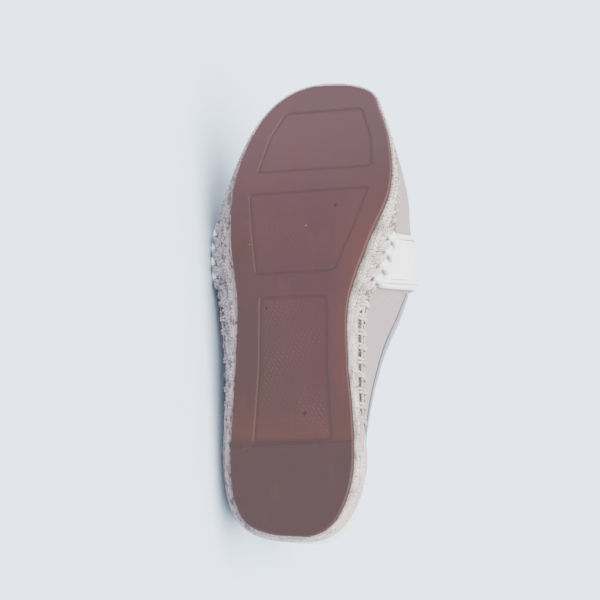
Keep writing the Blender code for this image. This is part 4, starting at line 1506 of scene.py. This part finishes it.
def makeHeelPatch():
    turns = surface["turns"]
    collar = surface["collar"]
    rows = range(2, collar - 2)
    keys = []
    for i, turn in enumerate(turns):
        after = turns[(i + 1) % len(turns)] or 360.0
        middle = (turn + after) / 2
        if min(middle, 360.0 - middle) < heelShape["turn"]:
            keys += [(i, row) for row in rows]
    runs, ups = surface["places"][:, 0], surface["places"][:, 1]
    limit = np.interp(heelShape["turn"], ringTurns, ringRun)
    fromHeel = np.minimum(runs, ringLength - runs)
    used = sorted({index for key in keys for index in surface["faces"][key]})
    edge = limit - fromHeel
    low = np.full(len(runs), 1.0)
    high = np.full(len(runs), 1.0)
    for i, column in enumerate(surface["grid"]):
        for row in rows:
            low[column[row]] = ups[column[row]] - ups[column[2]]
            high[column[row]] = ups[column[collar - 2]] - ups[column[row]]
        high[column[collar - 2]] = 0.0
    edge = np.minimum(np.minimum(edge, low), high)
    rounded = np.sqrt(1 - (1 - np.clip(edge / heelShape["edge"], 0, 1)) ** 2 * 0.85)
    groove = 0.0002 * np.exp(-((edge - heelShape["inset"]) / 0.0005) ** 2)
    outer = last["gap"] + heelShape["leather"] * rounded - groove
    # painted shade along the stitch groove
    shade = np.exp(-((edge - heelShape["inset"]) / 0.0006) ** 2) * 0.2
    return makeShell("heelPatch", keys, last["gap"] * 0.5, outer[used], [looks["leather"]], {"shade": shade})


heelPatch = makeHeelPatch()
print("heel patch", len(heelPatch.data.polygons), "faces")

tape = {
    "depth": 0.0034,
    "thick": 0.0010,
    "gap": 0.0002,
}


def makeCollarTape():
    # Folded tape over the collar, from one end of the band round the heel to the other
    points, normals, grid, turns = (surface[key] for key in ("points", "normals", "grid", "turns"))
    collar = surface["collar"]
    inner = [i for i, turn in enumerate(turns) if turn > 360.0 - last["bandRear"]]
    outer = [i for i, turn in enumerate(turns) if turn < last["bandRear"]]
    wall, gap, thick, depth = last["wall"], tape["gap"], tape["thick"], tape["depth"]
    proud, half = gap + thick, wall / 2
    # the fold as steps outwards and upwards from the canvas edge: outer leg, round top, inner leg
    leg = [(gap, -depth), (gap + thick * 0.7, -depth - 0.0001)]
    leg += [(proud, 0.0006 - depth), (proud, -depth * 0.45)]
    steps = list(leg)
    steps += [(-half + (half + proud) * cos(a), 0.0001 + proud * sin(a)) for a in np.linspace(0, pi, 9)]
    steps += [(-wall - out, up) for out, up in reversed(leg)]
    steps += [(-half + (half + gap) * cos(a), 0.0001 + gap * sin(a)) for a in np.linspace(pi, 0, 5)]
    steps = np.array(steps)
    rings, line, outs = [], [], []
    for i in inner + outer:
        edge, out = points[grid[i][collar]], normals[grid[i][collar]]
        rise = unit(edge - points[grid[i][collar - 3]])
        rings.append(edge + steps[:, :1] * out + steps[:, 1:] * rise)
        line.append(edge + out * (proud - 0.0001) - rise * (depth - 0.0011))
        outs.append(out)
    count = len(steps)
    run = lengthAlong(np.array([ring[0] for ring in rings]))
    uv = np.concatenate([np.stack([np.full(count, r), np.linspace(0, 0.012, count)], axis=1) for r in run])
    made = putMesh("collarTape", np.concatenate(rings), barFaces(rings), looks["tape"], uv)
    return turnOut(made), sewRow("tapeStitches", np.array(line), np.array(outs))


collarTape, tapeStitches = makeCollarTape()
sewn.append(tapeStitches)

sock = {
    "thick": 0.003,
    "inset": 0.0011,
    "dish": 0.0006,
    "round": 300,
}


def makeSock():
    turns = pairedTurns(sock["round"] // 2)
    count = len(turns)
    rings = []
    thick = sock["thick"]
    profile = ((0.0, 0.0), (0.0, 0.0018), (0.0003, 0.0026), (0.0010, thick), (0.0018, thick + 0.0001))
    for inset, rise in profile:
        ring = jutePoint(turns, 1.0, np.full(count, -last["rebate"] - last["wall"] - sock["inset"] - inset))
        ring[:, 2] += last["gap"] + rise
        rings.append(ring)
    border = rings[-1]
    centre = (border + border[(count - np.arange(count)) % count]) / 2
    for share in (0.12, 0.25, 0.4, 0.55, 0.7, 0.85):
        ring = border * (1 - share) + centre * share
        ring[:, 2] -= sock["dish"] * sin(share * pi / 2)
        rings.append(ring)
    points = np.concatenate(rings)
    made = putMesh("sockLining", points, stackFaces(rings), looks["lining"], points[:, :2])
    bm = bmesh.new()
    bm.from_mesh(made.data)
    bmesh.ops.remove_doubles(bm, verts=bm.verts, dist=1e-6)
    bm.to_mesh(made.data)
    bm.free()
    return turnOut(made)


sockLining = makeSock()


# loose jute fibres over rope and braid
fuzz = {
    "juteFibres": {"Density": 230000.0, "Seed": 11, "Fibre Length": 0.0034, "Fibre Radius": 0.00008},
    "juteShivesAndShade": {"Density": 170000.0, "Seed": 5, "Fibre Length": 0.0026, "Fibre Radius": 0.00018},
}


def fuzzGround(name):
    turns = evenTurns(500)
    count = len(turns)
    rises = (-0.10, 0.04, 0.2, 0.35, 0.47, 0.6, 0.75, 0.9, 0.98)
    offsets = (0.0002, 0.0003, 0.0002, 0.0, -0.0003, -0.0004, -0.0004, -0.0004, -0.0006)
    rings = [jutePoint(turns, rise, np.full(count, offset)) for rise, offset in zip(rises, offsets)]
    faces = [tuple(reversed(face)) for face in loftFaces(len(rings), count)]
    return putMesh(name, np.concatenate(rings), faces, looks["braid"])


def makeFuzz(name, look):
    return growTree(name, fuzzGround(name + "Ground"), fuzzTree(look), fuzz[name])


juteFibres = makeFuzz("juteFibres", looks["braid"])
# the shives also stand in as painted shade between the strands
juteShivesAndShade = makeFuzz("juteShivesAndShade", looks["shivesAndShade"])  # woody bits, darker than the fibre


# floor, light and camera
stage = {
    "floor": (0.70, 0.83, 1.00),
    "floorCloud": (0.715, 0.84, 1.00),
    "floorHalf": 6.0,
    "sun": 8.7,
    "sunColour": (1.0, 0.99, 0.975),
    "sunSpread": 74.0,
    "sunFrom": (0.12, -0.22, 1.0),
    "sky": 1.55,
    "skyColour": (0.89, 0.94, 1.0, 1.0),
}


def makeFloor():
    look, tree, shader, place, _ = newLook("pale floor", stage["floor"], 0.75)
    colour = blendColour(tree, noise(tree, place, 3.0, 2.0), stage["floor"], stage["floorCloud"])
    tree.links.new(colour, shader.inputs["Base Color"])
    half = stage["floorHalf"]
    corners = np.array([(-half, -half, 0.0), (half, -half, 0.0), (half, half, 0.0), (-half, half, 0.0)])
    putMesh("floor", corners, [(0, 1, 2, 3)], look, inShoe=False)


def addLight():
    lamp = bpy.data.lights.new("key", "SUN")
    lamp.energy = stage["sun"]
    lamp.angle = radians(stage["sunSpread"])
    lamp.color = stage["sunColour"]
    addObject("key", lamp).rotation_euler = Vector(stage["sunFrom"]).to_track_quat("Z", "Y").to_euler()
    sky = bpy.data.worlds.new("studio")
    bpy.context.scene.world = sky
    sky.use_nodes = True
    glow = sky.node_tree.nodes["Background"]
    glow.inputs["Color"].default_value = stage["skyColour"]
    glow.inputs["Strength"].default_value = stage["sky"]


view = {
    "place": (-0.15408, -0.03222, -0.67180),
    "towards": (0.21815, 0.22595, 0.94940),
    "up": (0.01328, 0.97205, -0.23440),
    "lens": 77.634,
}


def makeCamera():
    lens = bpy.data.cameras.new("camera")
    lens.lens = view["lens"]
    lens.sensor_width = 36.0
    lens.clip_start = 0.01
    made = addObject("camera", lens)
    ahead = Vector(shoeTurn @ np.array(view["towards"])).normalized()
    up = Vector(shoeTurn @ np.array(view["up"]))
    right = ahead.cross(up).normalized()
    up = right.cross(ahead)
    turn = Matrix((right, up, -ahead)).transposed()
    made.matrix_world = Matrix.Translation(Vector(toWorld(view["place"]))) @ turn.to_4x4()
    bpy.context.scene.camera = made


makeFloor()
addLight()
makeCamera()
print("stage set")


def restOnFloor(piece):
    # Soft yarns that hang below the floor are pressed flat on it
    count = len(piece.data.vertices)
    points = np.zeros(count * 3, dtype=np.float32)
    piece.data.vertices.foreach_get("co", points)
    points = points.reshape(-1, 3)
    points[:, 2] = np.where(points[:, 2] < 0.0002, 0.0002 + (points[:, 2] - 0.0002) * 0.02, points[:, 2])
    piece.data.vertices.foreach_set("co", points.ravel())
    piece.data.update()


# what each piece stands for
dressing = [
    (treadRubber, "rubber", "outsole"),
    (juteCore, "jute", "midsole"),
    (jutePlait, "jute", "seam_braid"),
    (juteLadder, "jute", "seam_braid"),
    (juteLoops, "jute", "seam_braid"),
    (juteFibres, "jute", None),
    (juteShivesAndShade, "jute", None),
    (canvasUpper, "canvas", "upper"),
    (leatherBand, "leather", "instep_band"),
    (heelPatch, "leather", "heel_counter"),
    (collarTape, "leather", "collar_binding"),
    (sockLining, "lining", "insole"),
]
dressing += [(piece, "leather", None) for piece in sewn]
for piece, slotName, node in dressing:
    restOnFloor(piece)
    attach(piece, "root")
    if node:
        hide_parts(node)

print("pieces dressed")
